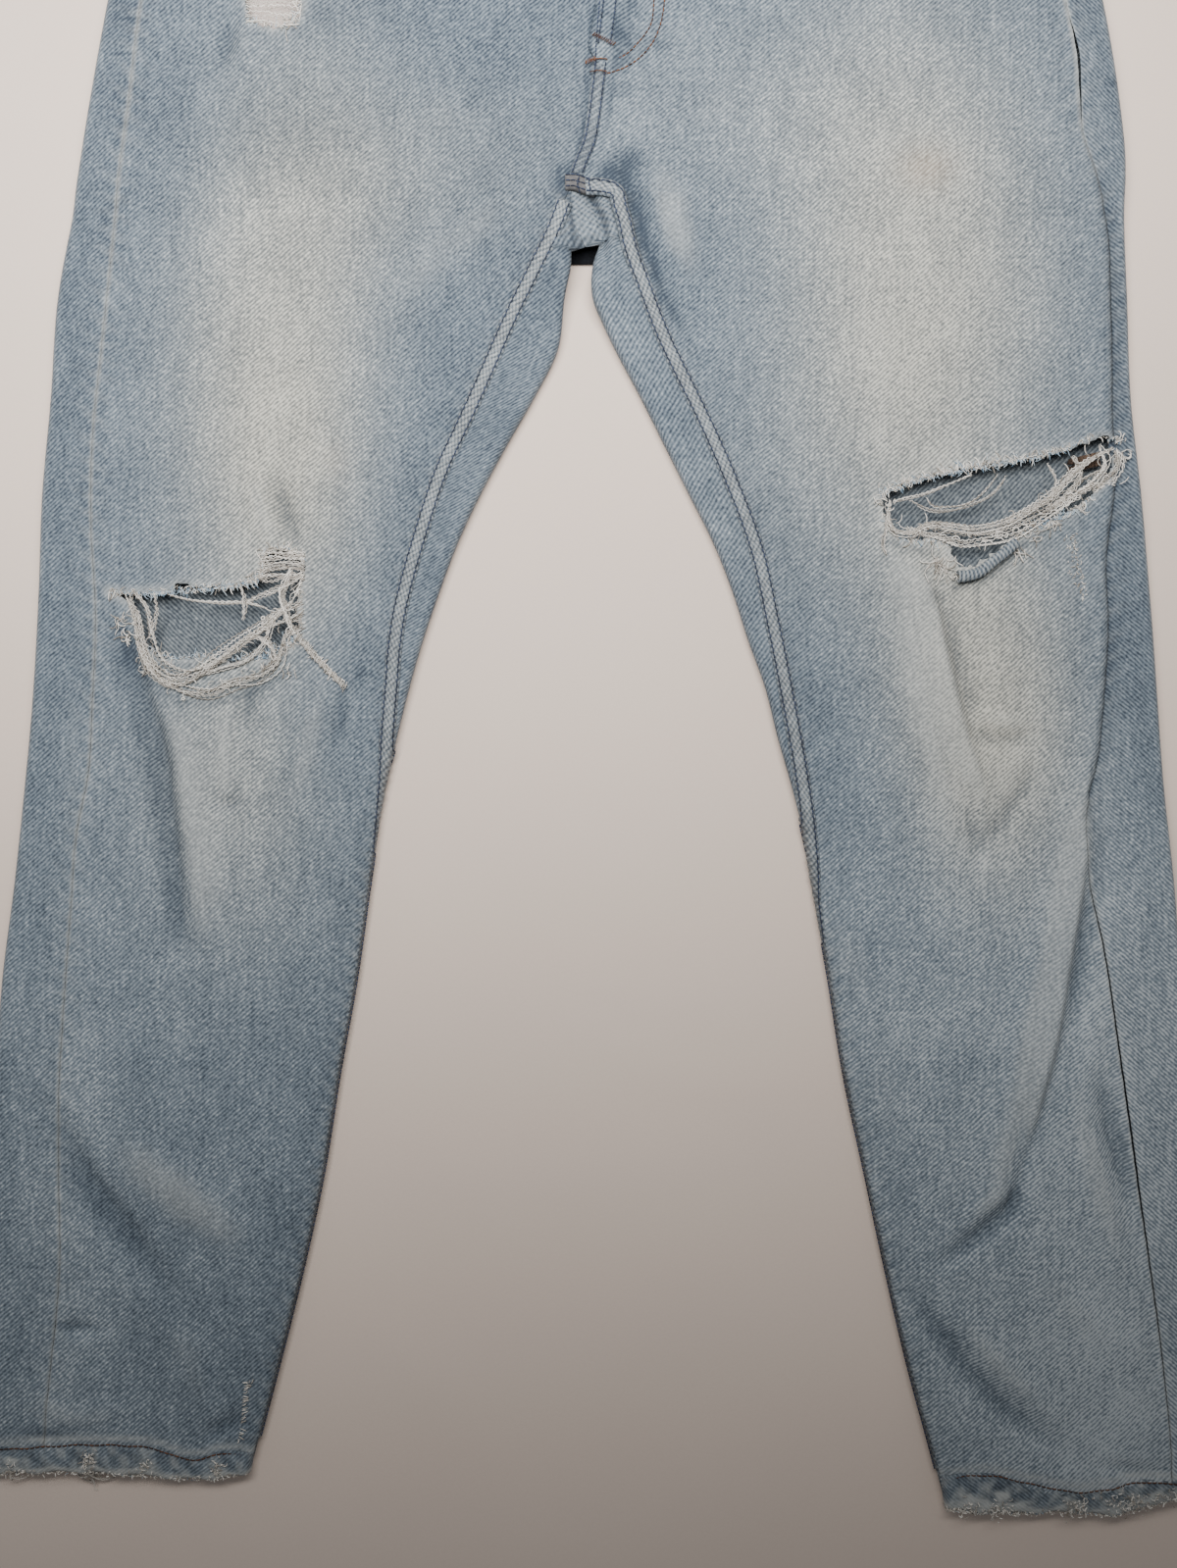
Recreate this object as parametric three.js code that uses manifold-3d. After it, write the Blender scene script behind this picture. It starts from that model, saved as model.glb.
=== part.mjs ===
// A pair of ripped, tapered jeans laid flat with the front up, as sewn: two front legs, two back
// legs, two yokes, a waistband, pockets, felled seams, hems, belt loops and a button.
// Millimetres. +X is towards the garment's own left leg, +Y towards the waist, and +Z up off the
// table. Each leg is a flattened tube: its front panel lies on top between the side seam and the
// inseam, and its back panel starts at the side seam, turns under the outer edge, lies on the table
// and comes up round the inner edge to the inseam.
import * as THREE from "three";
import { mergeVertices } from "three/addons/utils/BufferGeometryUtils.js";
import Module from "manifold-3d";

const wasm = await Module();
wasm.setup();

// ---------------------------------------------------------------- driving sizes

const WALL = 2; // denim, with the fullness of its folds
const BAG_WALL = 1; // pocket cotton
const BAND_WALL = 3; // waistband, four layers pressed together
const HEM_WALL = 2.5; // turned hem, three layers
const STRIP_WALL = 1; // the extra layers of a felled seam
const POCKET_WALL = 1.8; // patch pocket and belt loop
const GAP = 0.3; // clearance between pieces at a seam
const EDGE = 3.8; // radius of the soft fold along a leg's edge
const QUARTER = (Math.PI / 2) * EDGE; // cloth length of a quarter of that fold

const WAIST_SIDE_Y = 474; // waistband seam at the side folds
const WAIST_HALF = 240; // half the flat waist
const FRONT_DIP = 14; // the front waist seam's drop at the centre
const BACK_RISE = 22; // the back waist seam's rise at the centre
const BAND_HEIGHT = 38;
const CROSS_Y = 223; // where the front rise meets the inseams
const LIP_Y = 191; // lowest line of the crotch, where the seat turns under
const FLY_BOTTOM_Y = 300;
const FLY_LAP = 7; // how far the left front laps over the right one at the fly
const MOUTH_WIDTH = 84; // front pocket mouth, along the waist seam
const MOUTH_DEPTH = 88; // and down the side seam
const YOKE_SIDE = 34; // yoke height at the side
const YOKE_CENTRE = 84; // and at the centre back
const STRIP_HALF = 5; // half the width of a felled seam
const STRIP_GAP = 0.95; // and its clearance round the bend of the fold

// ---------------------------------------------------------------- small helpers

const mix = (a, b, t) => a + (b - a) * t;
const smooth = (a, b, x) => THREE.MathUtils.smoothstep(a < b ? x : -x, a < b ? a : -a, a < b ? b : -b);
const bell = (x, width) => Math.exp(-((x / width) ** 2));

// A smooth function of one number through [at, value] points, given from high to low or low to high.
function curve(points) {
  const p = [...points].sort((a, b) => a[0] - b[0]);
  const slope = (i) => {
    const lo = p[Math.max(i - 1, 0)];
    const hi = p[Math.min(i + 1, p.length - 1)];
    return (hi[1] - lo[1]) / (hi[0] - lo[0]);
  };
  return (at) => {
    const x = THREE.MathUtils.clamp(at, p[0][0], p[p.length - 1][0]);
    let i = 0;
    while (i < p.length - 2 && x > p[i + 1][0]) i += 1;
    const span = p[i + 1][0] - p[i][0];
    const t = (x - p[i][0]) / span;
    const a = (1 + 2 * t) * (1 - t) ** 2 * p[i][1] + t * t * (3 - 2 * t) * p[i + 1][1];
    const b = t * (1 - t) ** 2 * slope(i) - t * t * (1 - t) * slope(i + 1);
    return a + b * span;
  };
}

// ---------------------------------------------------------------- the cut, as laid

// Centre line of the fly, front rise and seat seam.
const centre = curve([[500, 8], [332, 3], [284, 0.5], [245, -5], [CROSS_Y, -9], [LIP_Y, -12.8]]);

// outer and inner are the leg's two silhouette lines, side is the side seam's distance in from the
// outer one, inseam is that seam's line, and hem is the hem seam's height.
const rightLeg = {
  inward: 1,
  outer: curve([
    [530, -231], [468, -236], [400, -268], [332, -285], [220, -301], [108, -316],
    [-4, -322], [-116, -330], [-228, -342.5], [-340, -352], [-530, -360],
  ]),
  inner: curve([
    [LIP_Y, -13], [164, -17], [140, -18.5], [108, -35], [52, -66], [-4, -89],
    [-60, -107], [-116, -121.5], [-228, -138], [-340, -157], [-452, -183], [-530, -203],
  ]),
  side: curve([[468, 10], [332, 23], [164, 30], [52, 31], [-60, 38], [-228, 40], [-396, 47], [-530, 43]]),
  inseam: curve([
    [CROSS_Y, -9.6], [211, -12], [200, -15.7], [LIP_Y, -20.7], [164, -33.6], [136, -49],
    [80, -73], [24, -94], [-32, -109], [-88, -118], [-122, -122],
  ]),
  inseamEnd: -122,
  hem: -498,
  bottom: -514,
};

const leftLeg = {
  inward: -1,
  outer: curve([
    [530, 240], [468, 244], [400, 275], [332, 293], [276, 303], [220, 306], [108, 310],
    [-4, 320], [-116, 329], [-228, 340], [-340, 350], [-530, 360],
  ]),
  inner: curve([
    [LIP_Y, -12.8], [189, -5], [185, -0.5], [175, -2], [164, -1.7], [136, 11], [108, 26],
    [52, 54], [-4, 79.5], [-60, 98], [-116, 113], [-172, 125], [-284, 145], [-396, 169], [-536, 201],
  ]),
  side: curve([
    [468, 10], [332, 23.5], [276, 24], [220, 14], [164, 10], [80, 11], [9, 25],
    [-62, 32], [-142, 50], [-204, 46], [-340, 39], [-530, 27],
  ]),
  inseam: curve([
    [CROSS_Y, -8.4], [219, 3.4], [214, 12], [198, 19], [181, 25], [164, 30], [136, 42], [108, 56.5],
    [52, 81], [-4, 97], [-60, 107.5], [-116, 118], [-172, 126],
  ]),
  inseamEnd: -172,
  hem: -517,
  bottom: -535,
};

const sideways = (x) => Math.min(Math.abs(x) / WAIST_HALF, 1);
const frontWaist = (x) => WAIST_SIDE_Y - FRONT_DIP * (1 - sideways(x) ** 2);
const backWaist = (x) => WAIST_SIDE_Y + BACK_RISE * (1 - sideways(x) ** 2);
const yokeLine = (x) => backWaist(x) - mix(YOKE_CENTRE, YOKE_SIDE, sideways(x - centre(WAIST_SIDE_Y)));

// ---------------------------------------------------------------- heights

const SEAT_LIFT = 2.1; // the seat lies on its patch pockets and belt loops
const TENT = 11; // the seat fabric's rise off the table at the crotch

// The underside of the whole garment: flat on the table, lifted by the pockets under the seat, and
// bunched up into an arch at the crotch.
function base(x, y) {
  const seat = smooth(208, 234, y);
  const arch = bell(x + 8, 46) * bell(y - LIP_Y, y > LIP_Y ? 60 : 38);
  return SEAT_LIFT * seat + TENT * arch;
}

// The largest folds of the front: [from, to, height, width], each a soft ridge.
const FOLDS = [
  [[310, 150], [292, 12], 2.6, 9],
  [[292, 12], [279, -130], 3.2, 10],
  [[279, -130], [246, -330], 2.4, 9],
  [[192, 26], [226, -170], 1.8, 8],
  [[-258, -30], [-232, -250], 1.6, 9],
  [[-300, -360], [-236, -462], 1.4, 12],
];

function foldHeight(x, y) {
  let height = 0.3 + 0.3 * Math.sin(x / 19) * Math.sin(y / 27 + x / 80); // it never lies dead flat
  for (const [[x0, y0], [x1, y1], rise, width] of FOLDS) {
    const dx = x1 - x0;
    const dy = y1 - y0;
    const along = THREE.MathUtils.clamp(((x - x0) * dx + (y - y0) * dy) / (dx * dx + dy * dy), 0, 1);
    const away = Math.hypot(x - x0 - dx * along, y - y0 - dy * along);
    height = Math.max(height, rise * bell(away, width));
  }
  return height;
}

// The outside of the cloth on top of the garment, away from its edges.
const topOf = (x, y) => base(x, y) + 2 * EDGE + foldHeight(x, y);

// Cloth length from a folded edge, to the distance in from the edge line and the rise from mid height.
function overEdge(cloth) {
  const c = Math.abs(cloth);
  if (c >= QUARTER) return { offset: EDGE + c - QUARTER, rise: EDGE };
  return { offset: EDGE * (1 - Math.cos(c / EDGE)), rise: EDGE * Math.sin(c / EDGE) };
}

const clothLength = (offset) =>
  offset >= EDGE ? QUARTER + offset - EDGE : EDGE * Math.acos(1 - Math.max(offset, 0) / EDGE);

// The leg's inner line: the folded edge below the crotch, and the centre seam above it.
const innerLine = (leg, y) => (y >= LIP_Y ? centre(y) - leg.inward * (GAP / 2) : leg.inner(y));

// How much of the inner edge's fold there is at y: all of it down the leg, none of it in the body.
function foldShare(y) {
  if (y <= LIP_Y) return 1;
  if (y >= LIP_Y + EDGE) return 0;
  return 1 - Math.sqrt(1 - (1 - (y - LIP_Y) / EDGE) ** 2);
}

// A point on the outside of the cloth, `cloth` from the inner line: up over the top where it is
// positive, and down round the underside where it is negative.
function roundInner(leg, y, cloth, below = cloth < 0) {
  const { offset, rise } = overEdge(cloth);
  const x = innerLine(leg, y) - leg.inward * offset;
  const short = (EDGE - rise) * foldShare(y);
  const z = below ? short : 2 * EDGE - short + foldHeight(x, y) * (rise / EDGE);
  return new THREE.Vector3(x, y, base(x, y) + z);
}

// The same from the outer line.
function roundOuter(leg, y, cloth) {
  const { offset, rise } = overEdge(cloth);
  const x = leg.outer(y) + leg.inward * offset;
  const z = cloth >= 0 ? EDGE + rise + foldHeight(x, y) * (rise / EDGE) : EDGE - rise;
  return new THREE.Vector3(x, y, base(x, y) + z);
}

// ---------------------------------------------------------------- walls from surfaces

// An open sheet of quads over rows x columns of surface(row, column), which gives a point on the
// outside of the cloth. side is 1 where column x row points out of the garment, and -1 where not.
function sheet(surface, rows, columns, side) {
  const step = 1e-3;
  const points = [];
  const normals = [];
  const triangles = [];
  const last = columns[columns.length - 1];
  for (const r of rows)
    for (const c of columns) {
      const [near, far] = [Math.max(c - step, columns[0]), Math.min(c + step, last)];
      const alongColumn = surface(r, far).sub(surface(r, near));
      const alongRow = surface(Math.max(r - step, rows[rows.length - 1]), c)
        .sub(surface(Math.min(r + step, rows[0]), c));
      points.push(surface(r, c));
      normals.push(alongColumn.cross(alongRow).normalize().multiplyScalar(side));
    }
  const wide = columns.length;
  for (let i = 0; i + 1 < rows.length; i += 1)
    for (let j = 0; j + 1 < wide; j += 1) {
      const [a, b, c, d] = [i * wide + j, i * wide + j + 1, (i + 1) * wide + j + 1, (i + 1) * wide + j];
      triangles.push(...(side > 0 ? [[a, b, c], [a, c, d]] : [[a, c, b], [a, d, c]]));
    }
  return { points, normals, triangles };
}

// Sheets joined where their points meet.
function joined(...sheets) {
  const index = new Map();
  const points = [];
  const normals = [];
  const triangles = [];
  for (const one of sheets) {
    const place = one.points.map((p, i) => {
      const key = p.toArray().map((v) => Math.round(v * 1e3)).join();
      if (!index.has(key)) {
        index.set(key, points.length);
        points.push(p.clone());
        normals.push(new THREE.Vector3());
      }
      normals[index.get(key)].add(one.normals[i]);
      return index.get(key);
    });
    for (const t of one.triangles) {
      const [a, b, c] = t.map((i) => place[i]);
      if (a !== b && b !== c && c !== a) triangles.push([a, b, c]);
    }
  }
  normals.forEach((n) => n.normalize());
  return { points, normals, triangles };
}

// A closed wall: the sheet, raised by lift, its copy a thickness further in, and a rim between them.
function wall(open, thickness, lift = 0) {
  const count = open.points.length;
  const outside = open.points.map((p, i) => p.clone().addScaledVector(open.normals[i], lift));
  const inside = outside.map((p, i) => p.clone().addScaledVector(open.normals[i], -thickness));
  const index = [];
  const rim = new Map();
  for (const [a, b, c] of open.triangles) {
    index.push(a, b, c, count + a, count + c, count + b);
    for (const [p, q] of [[a, b], [b, c], [c, a]]) {
      if (rim.has(`${q},${p}`)) rim.delete(`${q},${p}`);
      else rim.set(`${p},${q}`, [p, q]);
    }
  }
  for (const [p, q] of rim.values()) index.push(p, count + p, q, q, count + p, count + q);
  const flat = [...outside, ...inside].flatMap((p) => p.toArray());
  return new THREE.BufferGeometry()
    .setAttribute("position", new THREE.Float32BufferAttribute(flat, 3))
    .setIndex(index);
}

const steps = (from, to, count) => Array.from({ length: count + 1 }, (_, i) => mix(from, to, i / count));

// ---------------------------------------------------------------- cutting with manifold-3d

function toSolid(geometry) {
  const bare = geometry.clone();
  bare.deleteAttribute("normal");
  bare.deleteAttribute("uv");
  const merged = mergeVertices(bare, 1e-3);
  return new wasm.Manifold(new wasm.Mesh({
    numProp: 3,
    vertProperties: merged.attributes.position.array,
    triVerts: new Uint32Array(merged.index.array),
  }));
}

function fromSolid(solid) {
  const mesh = solid.getMesh();
  const count = mesh.vertProperties.length / mesh.numProp;
  const flat = [];
  for (let i = 0; i < count; i += 1) flat.push(...mesh.vertProperties.slice(i * mesh.numProp, i * mesh.numProp + 3));
  return new THREE.BufferGeometry()
    .setAttribute("position", new THREE.Float32BufferAttribute(flat, 3))
    .setIndex([...mesh.triVerts]);
}

// A worn hole: its outline, cut straight down through the front only.
function rip(outline) {
  const points = outline.map(([x, y]) => new THREE.Vector2(x, y));
  const shape = new THREE.Shape(new THREE.SplineCurve([...points, points[0]]).getPoints(points.length * 2).slice(1));
  const prism = new THREE.ExtrudeGeometry(shape, { depth: 40, bevelEnabled: false });
  return toSolid(prism.translate(0, 0, EDGE));
}

const RIGHT_KNEE = [[-263, -6], [-222, -3], [-200, 2], [-178, 14], [-170, 2], [-170, -28], [-184, -44], [-214, -54], [-240, -46], [-256, -22]];
const LEFT_KNEE = [[168, 44], [200, 53], [238, 63], [274, 78], [295, 78.4], [296, 60], [290, 42], [262, 30], [244, 18], [214, 14], [196, 26], [176, 30]];
const RIGHT_THIGH = [[-198, 344], [-184, 348], [-172, 341], [-170, 330], [-178.4, 326.4], [-194, 330]];

const cut = (geometry, ...holes) =>
  fromSolid(holes.reduce((left, hole) => left.subtract(rip(hole)), toSolid(geometry)));

// ---------------------------------------------------------------- panels

const MOUTH_ROWS = [WAIST_SIDE_Y, 446, 420, 402, 391];
// Rows shared by front and back, so that their edges meet facet by facet.
const BODY_ROWS = [386, 355, 325, 312, 300, 288, 262, 240];
const FORK_ROWS = [CROSS_Y + 0.01, CROSS_Y - 2, 212, 203, 197, LIP_Y, 185, 175, 164, 150, 136];
const LEG_ROWS = [108, 80, 52, 24, -4, -32, -60, -74, -88, -102, -116, -130, -150, -172, -214, -270, -330, -390, -450];
const BEND = 5.1; // cloth length beside an inseam that needs close columns for its fold

// The front panel's outer line: the side seam, and above it the scooped pocket mouth.
function frontOuterOffset(leg, y) {
  const up = THREE.MathUtils.clamp(1 - (WAIST_SIDE_Y - y) / (MOUTH_DEPTH - 1), 0, 1);
  return leg.side(y) + MOUTH_WIDTH * Math.sqrt(1 - (1 - up) ** 2) + GAP / 2;
}

// How far the left front reaches past the centre line at the fly, and how far that lap is raised.
const lapAt = (leg, y) => (leg === leftLeg ? FLY_LAP * smooth(FLY_BOTTOM_Y, FLY_BOTTOM_Y + 12, y) : 0);
const lapLift = (leg, x, y) =>
  leg === leftLeg
    ? (WALL + GAP) * smooth(FLY_BOTTOM_Y - 12, FLY_BOTTOM_Y, y) * smooth(16, 3, x - centre(y))
    : 0;

// Columns up to 0 share out the panel from its outer line (-1) to the bend (0); columns 1 to 3 go on
// round the bend to the inseam or the centre front.
function frontSurface(leg) {
  return (row, column) => {
    const top = smooth(380, WAIST_SIDE_Y, row);
    const first = Math.abs(innerLine(leg, row) - leg.outer(row)) - frontOuterOffset(leg, row);
    const seam = row >= CROSS_Y ? 0 : Math.max(leg.inward * (innerLine(leg, row) - leg.inseam(row)), GAP);
    const open = row >= CROSS_Y;
    const last = (row < leg.inseamEnd ? clothLength(GAP) : clothLength(seam)) + (open ? 0 : GAP);
    const bent = last - lapAt(leg, row);
    const cloth = mix(clothLength(first), bent + BEND, Math.min(column, 0) + 1) - Math.max(column, 0) * BEND / 3;
    const p = roundInner(leg, row, Math.max(cloth, 0));
    if (open && cloth < EDGE) {
      p.x = innerLine(leg, row) - leg.inward * cloth;
      p.z = topOf(p.x, row);
    }
    p.z += lapLift(leg, p.x, row);
    p.y = row + top * (frontWaist(p.x) - WAIST_SIDE_Y);
    return p;
  };
}

function frontPanel(leg) {
  const rows = [...MOUTH_ROWS, ...BODY_ROWS, ...FORK_ROWS, ...LEG_ROWS, leg.hem];
  const columns = [-1, -0.92, -0.8, -0.62, -0.45, -0.3, -0.16, 0, 1, 2, 3];
  return wall(sheet(frontSurface(leg), rows, columns, -leg.inward), WALL);
}

// Back panel and yoke share this surface. Columns 0 to 5 go from the side seam over the outer edge
// to the table, FLOOR_COLUMNS cross the table, and the last two go up round the inner edge.
const FLOOR_COLUMNS = 5;
const BACK_COLUMNS = 7 + FLOOR_COLUMNS;

function backSurface(leg, line) {
  return (row, column) => {
    const seam = clothLength(leg.side(row)) - GAP / 2;
    let p;
    if (column <= 1) p = roundOuter(leg, row, mix(seam, QUARTER, column));
    else if (column <= 5) p = roundOuter(leg, row, (QUARTER * (3 - column)) / 2);
    else if (column <= 5 + FLOOR_COLUMNS) {
      const from = leg.outer(row) + leg.inward * EDGE;
      const to = innerLine(leg, row) - leg.inward * EDGE;
      const x = mix(from, to, (column - 5) / FLOOR_COLUMNS);
      p = new THREE.Vector3(x, row, base(x, row));
    } else p = roundInner(leg, row, (-QUARTER * (BACK_COLUMNS - column)) / 2, true);
    p.y = row + line(row, p.x, column < 3);
    return p;
  };
}

// The strip of back panel that shows on top, between the inner edge and the inseam.
function innerStrip(leg) {
  return (row, column) => {
    const seam = Math.max(leg.inward * (innerLine(leg, row) - leg.inseam(row)), GAP);
    const far = (row < leg.inseamEnd ? clothLength(GAP) : clothLength(seam)) - GAP;
    return roundInner(leg, row, far * column);
  };
}

function backPanel(leg) {
  const yokeSide = WAIST_SIDE_Y - YOKE_SIDE - 2 * GAP;
  const slant = (row, x) => smooth(330, yokeSide, row) * (yokeLine(x) - 2 * GAP - yokeSide);
  const rows = [yokeSide, 412, ...BODY_ROWS, ...FORK_ROWS, ...LEG_ROWS, leg.hem];
  const columns = steps(0, BACK_COLUMNS, BACK_COLUMNS);
  const under = sheet(backSurface(leg, slant), rows, columns, leg.inward);
  const stripRows = rows.filter((y) => y < CROSS_Y);
  const over = sheet(innerStrip(leg), stripRows, [0, 0.35, 0.7, 1], leg.inward);
  return wall(joined(under, over), WALL);
}

function yoke(leg) {
  const yokeSide = WAIST_SIDE_Y - YOKE_SIDE;
  const line = (row, x, onTop) => {
    const up = (row - yokeSide) / YOKE_SIDE;
    return mix(yokeLine(x), onTop ? frontWaist(x) : backWaist(x), up) - mix(yokeSide, WAIST_SIDE_Y, up);
  };
  const rows = [WAIST_SIDE_Y, mix(yokeSide, WAIST_SIDE_Y, 0.5), yokeSide];
  const columns = steps(0, BACK_COLUMNS, BACK_COLUMNS);
  return wall(sheet(backSurface(leg, line), rows, columns, leg.inward), WALL);
}

// ---------------------------------------------------------------- hems

function hem(leg) {
  const across = (row) => Math.abs(leg.inner(row) - leg.outer(row));
  const surface = (row, turn) => {
    const top = clothLength(across(row) / 2);
    const t = ((turn % 4) + 4) % 4;
    if (t < 1) return roundOuter(leg, row, top * (1 - t));
    if (t < 2) return roundOuter(leg, row, -top * (t - 1));
    if (t < 3) return roundInner(leg, row, -top * (3 - t));
    return roundInner(leg, row, top * (t - 3));
  };
  const share = QUARTER / clothLength(across(leg.hem) / 2);
  const columns = [0, 0.5, 1 - share, 1 - share / 2, 1, 1 + share / 2, 1 + share, 1.5];
  const around = [...columns, ...columns.map((c) => c + 2)].sort((a, b) => a - b);
  const rows = [leg.hem - GAP, mix(leg.hem, leg.bottom, 0.5), leg.bottom];
  const open = sheet(surface, rows, [...around, 4], leg.inward);
  return wall(joined(open), HEM_WALL);
}

// ---------------------------------------------------------------- felled seams

function inseamStrip(leg) {
  const first = leg === leftLeg ? CROSS_Y - 1.5 : 206;
  const surface = (row, column) => {
    const seam = Math.max(leg.inward * (innerLine(leg, row) - leg.inseam(row)), GAP);
    const middle = row < leg.inseamEnd ? clothLength(GAP) : clothLength(seam);
    const near = Math.max(middle - STRIP_HALF, row > LIP_Y + EDGE ? 0.2 : -1);
    return roundInner(leg, row, mix(middle + STRIP_HALF, near, column));
  };
  const rows = [first, ...FORK_ROWS, ...LEG_ROWS, leg.hem + 2].filter((y) => y <= first);
  return wall(sheet(surface, rows, steps(0, 1, 5), -leg.inward), STRIP_WALL, STRIP_WALL + STRIP_GAP);
}

function riseStrip() {
  const surface = (row, column) => {
    const x = centre(row) + mix(-STRIP_HALF, STRIP_HALF, column);
    return new THREE.Vector3(x, row, topOf(x, row));
  };
  const rows = [FLY_BOTTOM_Y - 15, 262, 240, CROSS_Y + 5.5];
  return wall(sheet(surface, rows, [0, 0.5, 1], -1), STRIP_WALL, STRIP_WALL + GAP);
}

// ---------------------------------------------------------------- waistband, loops and button

const BAND_LAP = 8; // the left end reaches this far past the centre
const BAND_UNDERLAP = 26; // and the right end this far under it

// turn 0 is the left end at the front, 1 the left fold, 2 to 3 the back and 4 the right end.
function bandSurface(row, turn) {
  const middle = centre(WAIST_SIDE_Y);
  const side = turn < 2 ? leftLeg : rightLeg;
  const near = turn < 2 ? turn : 4 - turn;
  const outer = side.outer(row);
  const end = turn < 2 ? middle - BAND_LAP : middle + BAND_UNDERLAP;
  const frontLength = clothLength(Math.abs(end - outer));
  const backLength = clothLength(Math.abs(middle - outer));
  const p = near < 1
    ? roundOuter(side, row, frontLength * (1 - near))
    : roundOuter(side, row, -backLength * (near - 1));
  const line = near < 1 ? frontWaist(p.x) : backWaist(p.x);
  if (turn < 1) p.z += (BAND_WALL + GAP) * smooth(middle + BAND_UNDERLAP + 22, middle + BAND_UNDERLAP + 3, p.x);
  p.y = row + line - WAIST_SIDE_Y;
  return p;
}

function waistband() {
  const share = QUARTER / clothLength(WAIST_HALF);
  const fold = [1 - share, 1 - share / 2, 1, 1 + share / 2, 1 + share];
  const half = [0, 0.1, 0.2, 0.35, 0.55, 0.78, ...fold, ...steps(1.125, 1.875, 6)];
  const turns = [...half, 2, ...half.map((t) => 4 - t)].sort((a, b) => a - b);
  const rows = [WAIST_SIDE_Y + BAND_HEIGHT, WAIST_SIDE_Y + 2 * GAP];
  return wall(sheet(bandSurface, rows, turns, -1), BAND_WALL);
}

const LOOP_WIDTH = 12;
const LOOP_PAST = 6; // a loop's reach below the waist seam
const FRONT_LOOPS = [-126, 138];
const BACK_LOOPS = [-112, 6, 124];

// A front loop: a strip that touches down at both ends and bows up over the band.
function frontLoop(x) {
  const low = frontWaist(x) - LOOP_PAST;
  const high = frontWaist(x) + BAND_HEIGHT;
  const floor = topOf(x, low) + 2.5 * GAP;
  const top = new THREE.QuadraticBezierCurve(
    new THREE.Vector2(low, floor + POCKET_WALL),
    new THREE.Vector2(mix(low, high, 0.5), floor + POCKET_WALL + 5),
    new THREE.Vector2(high, floor + POCKET_WALL),
  ).getPoints(6);
  const outline = [...top, ...top.map((p) => new THREE.Vector2(p.x, p.y - POCKET_WALL)).reverse()];
  const strip = new THREE.ExtrudeGeometry(new THREE.Shape(outline), { depth: LOOP_WIDTH, bevelEnabled: false });
  return strip.rotateY(Math.PI / 2).rotateX(Math.PI / 2).translate(x - LOOP_WIDTH / 2, 0, 0);
}

// A back loop lies pressed flat between the band and the table.
function backLoop(x) {
  const length = BAND_HEIGHT + LOOP_PAST;
  const strip = new THREE.BoxGeometry(LOOP_WIDTH, length, POCKET_WALL);
  return strip.translate(x, backWaist(x) - LOOP_PAST + length / 2, POCKET_WALL / 2);
}

const BUTTON_RADIUS = 8.5;

function button() {
  const r = BUTTON_RADIUS;
  const profile = [[0, 0], [r - 2.5, 0], [r - 0.6, 0.7], [r, 1.6], [r - 0.6, 2.5], [r - 1.6, 2.7], [r - 2.4, 2.2], [0, 2.6]];
  const x = centre(WAIST_SIDE_Y) + 6;
  const y = frontWaist(x) + BAND_HEIGHT / 2;
  const z = topOf(x, y) + BAND_WALL + 2 * GAP;
  return new THREE.LatheGeometry(profile.map((p) => new THREE.Vector2(...p)), 24)
    .rotateX(Math.PI / 2)
    .translate(x, y, z);
}

// ---------------------------------------------------------------- pockets

// Denim facing under the pocket mouth, from the side seam to a little past the mouth's edge.
function pocketFacing(leg) {
  const under = 16;
  const surface = (row, column) => {
    const outer = leg.side(row) + GAP;
    const reach = outer + (frontOuterOffset(leg, row) - leg.side(row)) + under;
    const x = leg.outer(row) + leg.inward * mix(outer, reach, column);
    const y = row + smooth(380, WAIST_SIDE_Y, row) * (frontWaist(x) - WAIST_SIDE_Y);
    return new THREE.Vector3(x, y, topOf(x, row) - WALL - GAP);
  };
  const rows = [WAIST_SIDE_Y, 446, 420, 402, 391, WAIST_SIDE_Y - MOUTH_DEPTH, 372];
  return wall(sheet(surface, rows, steps(0, 1, 4), -leg.inward), BAG_WALL + 0.4);
}

// A cotton pocket bag; the right one shows through the small rip on the thigh.
function pocketBag(leg) {
  const bottom = 290;
  const surface = (row, column) => {
    const round = Math.sqrt(1 - smooth(330, bottom - 14, row) ** 2);
    const x = -leg.inward * (162 + 62 * round * (1 - 2 * column));
    const y = row + smooth(380, WAIST_SIDE_Y, row) * (frontWaist(x) - WAIST_SIDE_Y);
    return new THREE.Vector3(x, y, base(x, y) + WALL + GAP + BAG_WALL);
  };
  const rows = [WAIST_SIDE_Y - 1, 440, 400, 365, 335, 318, 303, bottom];
  return wall(sheet(surface, rows, steps(0, 1, 6), -leg.inward), BAG_WALL);
}

// ---------------------------------------------------------------- fly, behind the closed lap

const SHIELD = { out: 30, past: 16, low: FLY_BOTTOM_Y - 8 }; // reach to the right and left, lower end
const ZIP = { width: 24, thick: 0.8, low: FLY_BOTTOM_Y };

// A flat strip behind the fly, from `low` to the waist seam, with its lower face `up` off the back panel.
function flyStrip(x0, x1, low, up, thickness) {
  const surface = (row, column) => {
    const x = centre(row) + mix(x0, x1, column);
    const y = row - smooth(400, WAIST_SIDE_Y, row) * FRONT_DIP;
    return new THREE.Vector3(x, y, base(x, y) + WALL + up + thickness);
  };
  return wall(sheet(surface, [WAIST_SIDE_Y - 1, 440, 400, 350, low], [0, 1], -1), thickness);
}

// ---------------------------------------------------------------- the flap rolled back at the left knee

const ROLL_RADIUS = 3.2;
const ROLL_WALL = 1.3;

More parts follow.
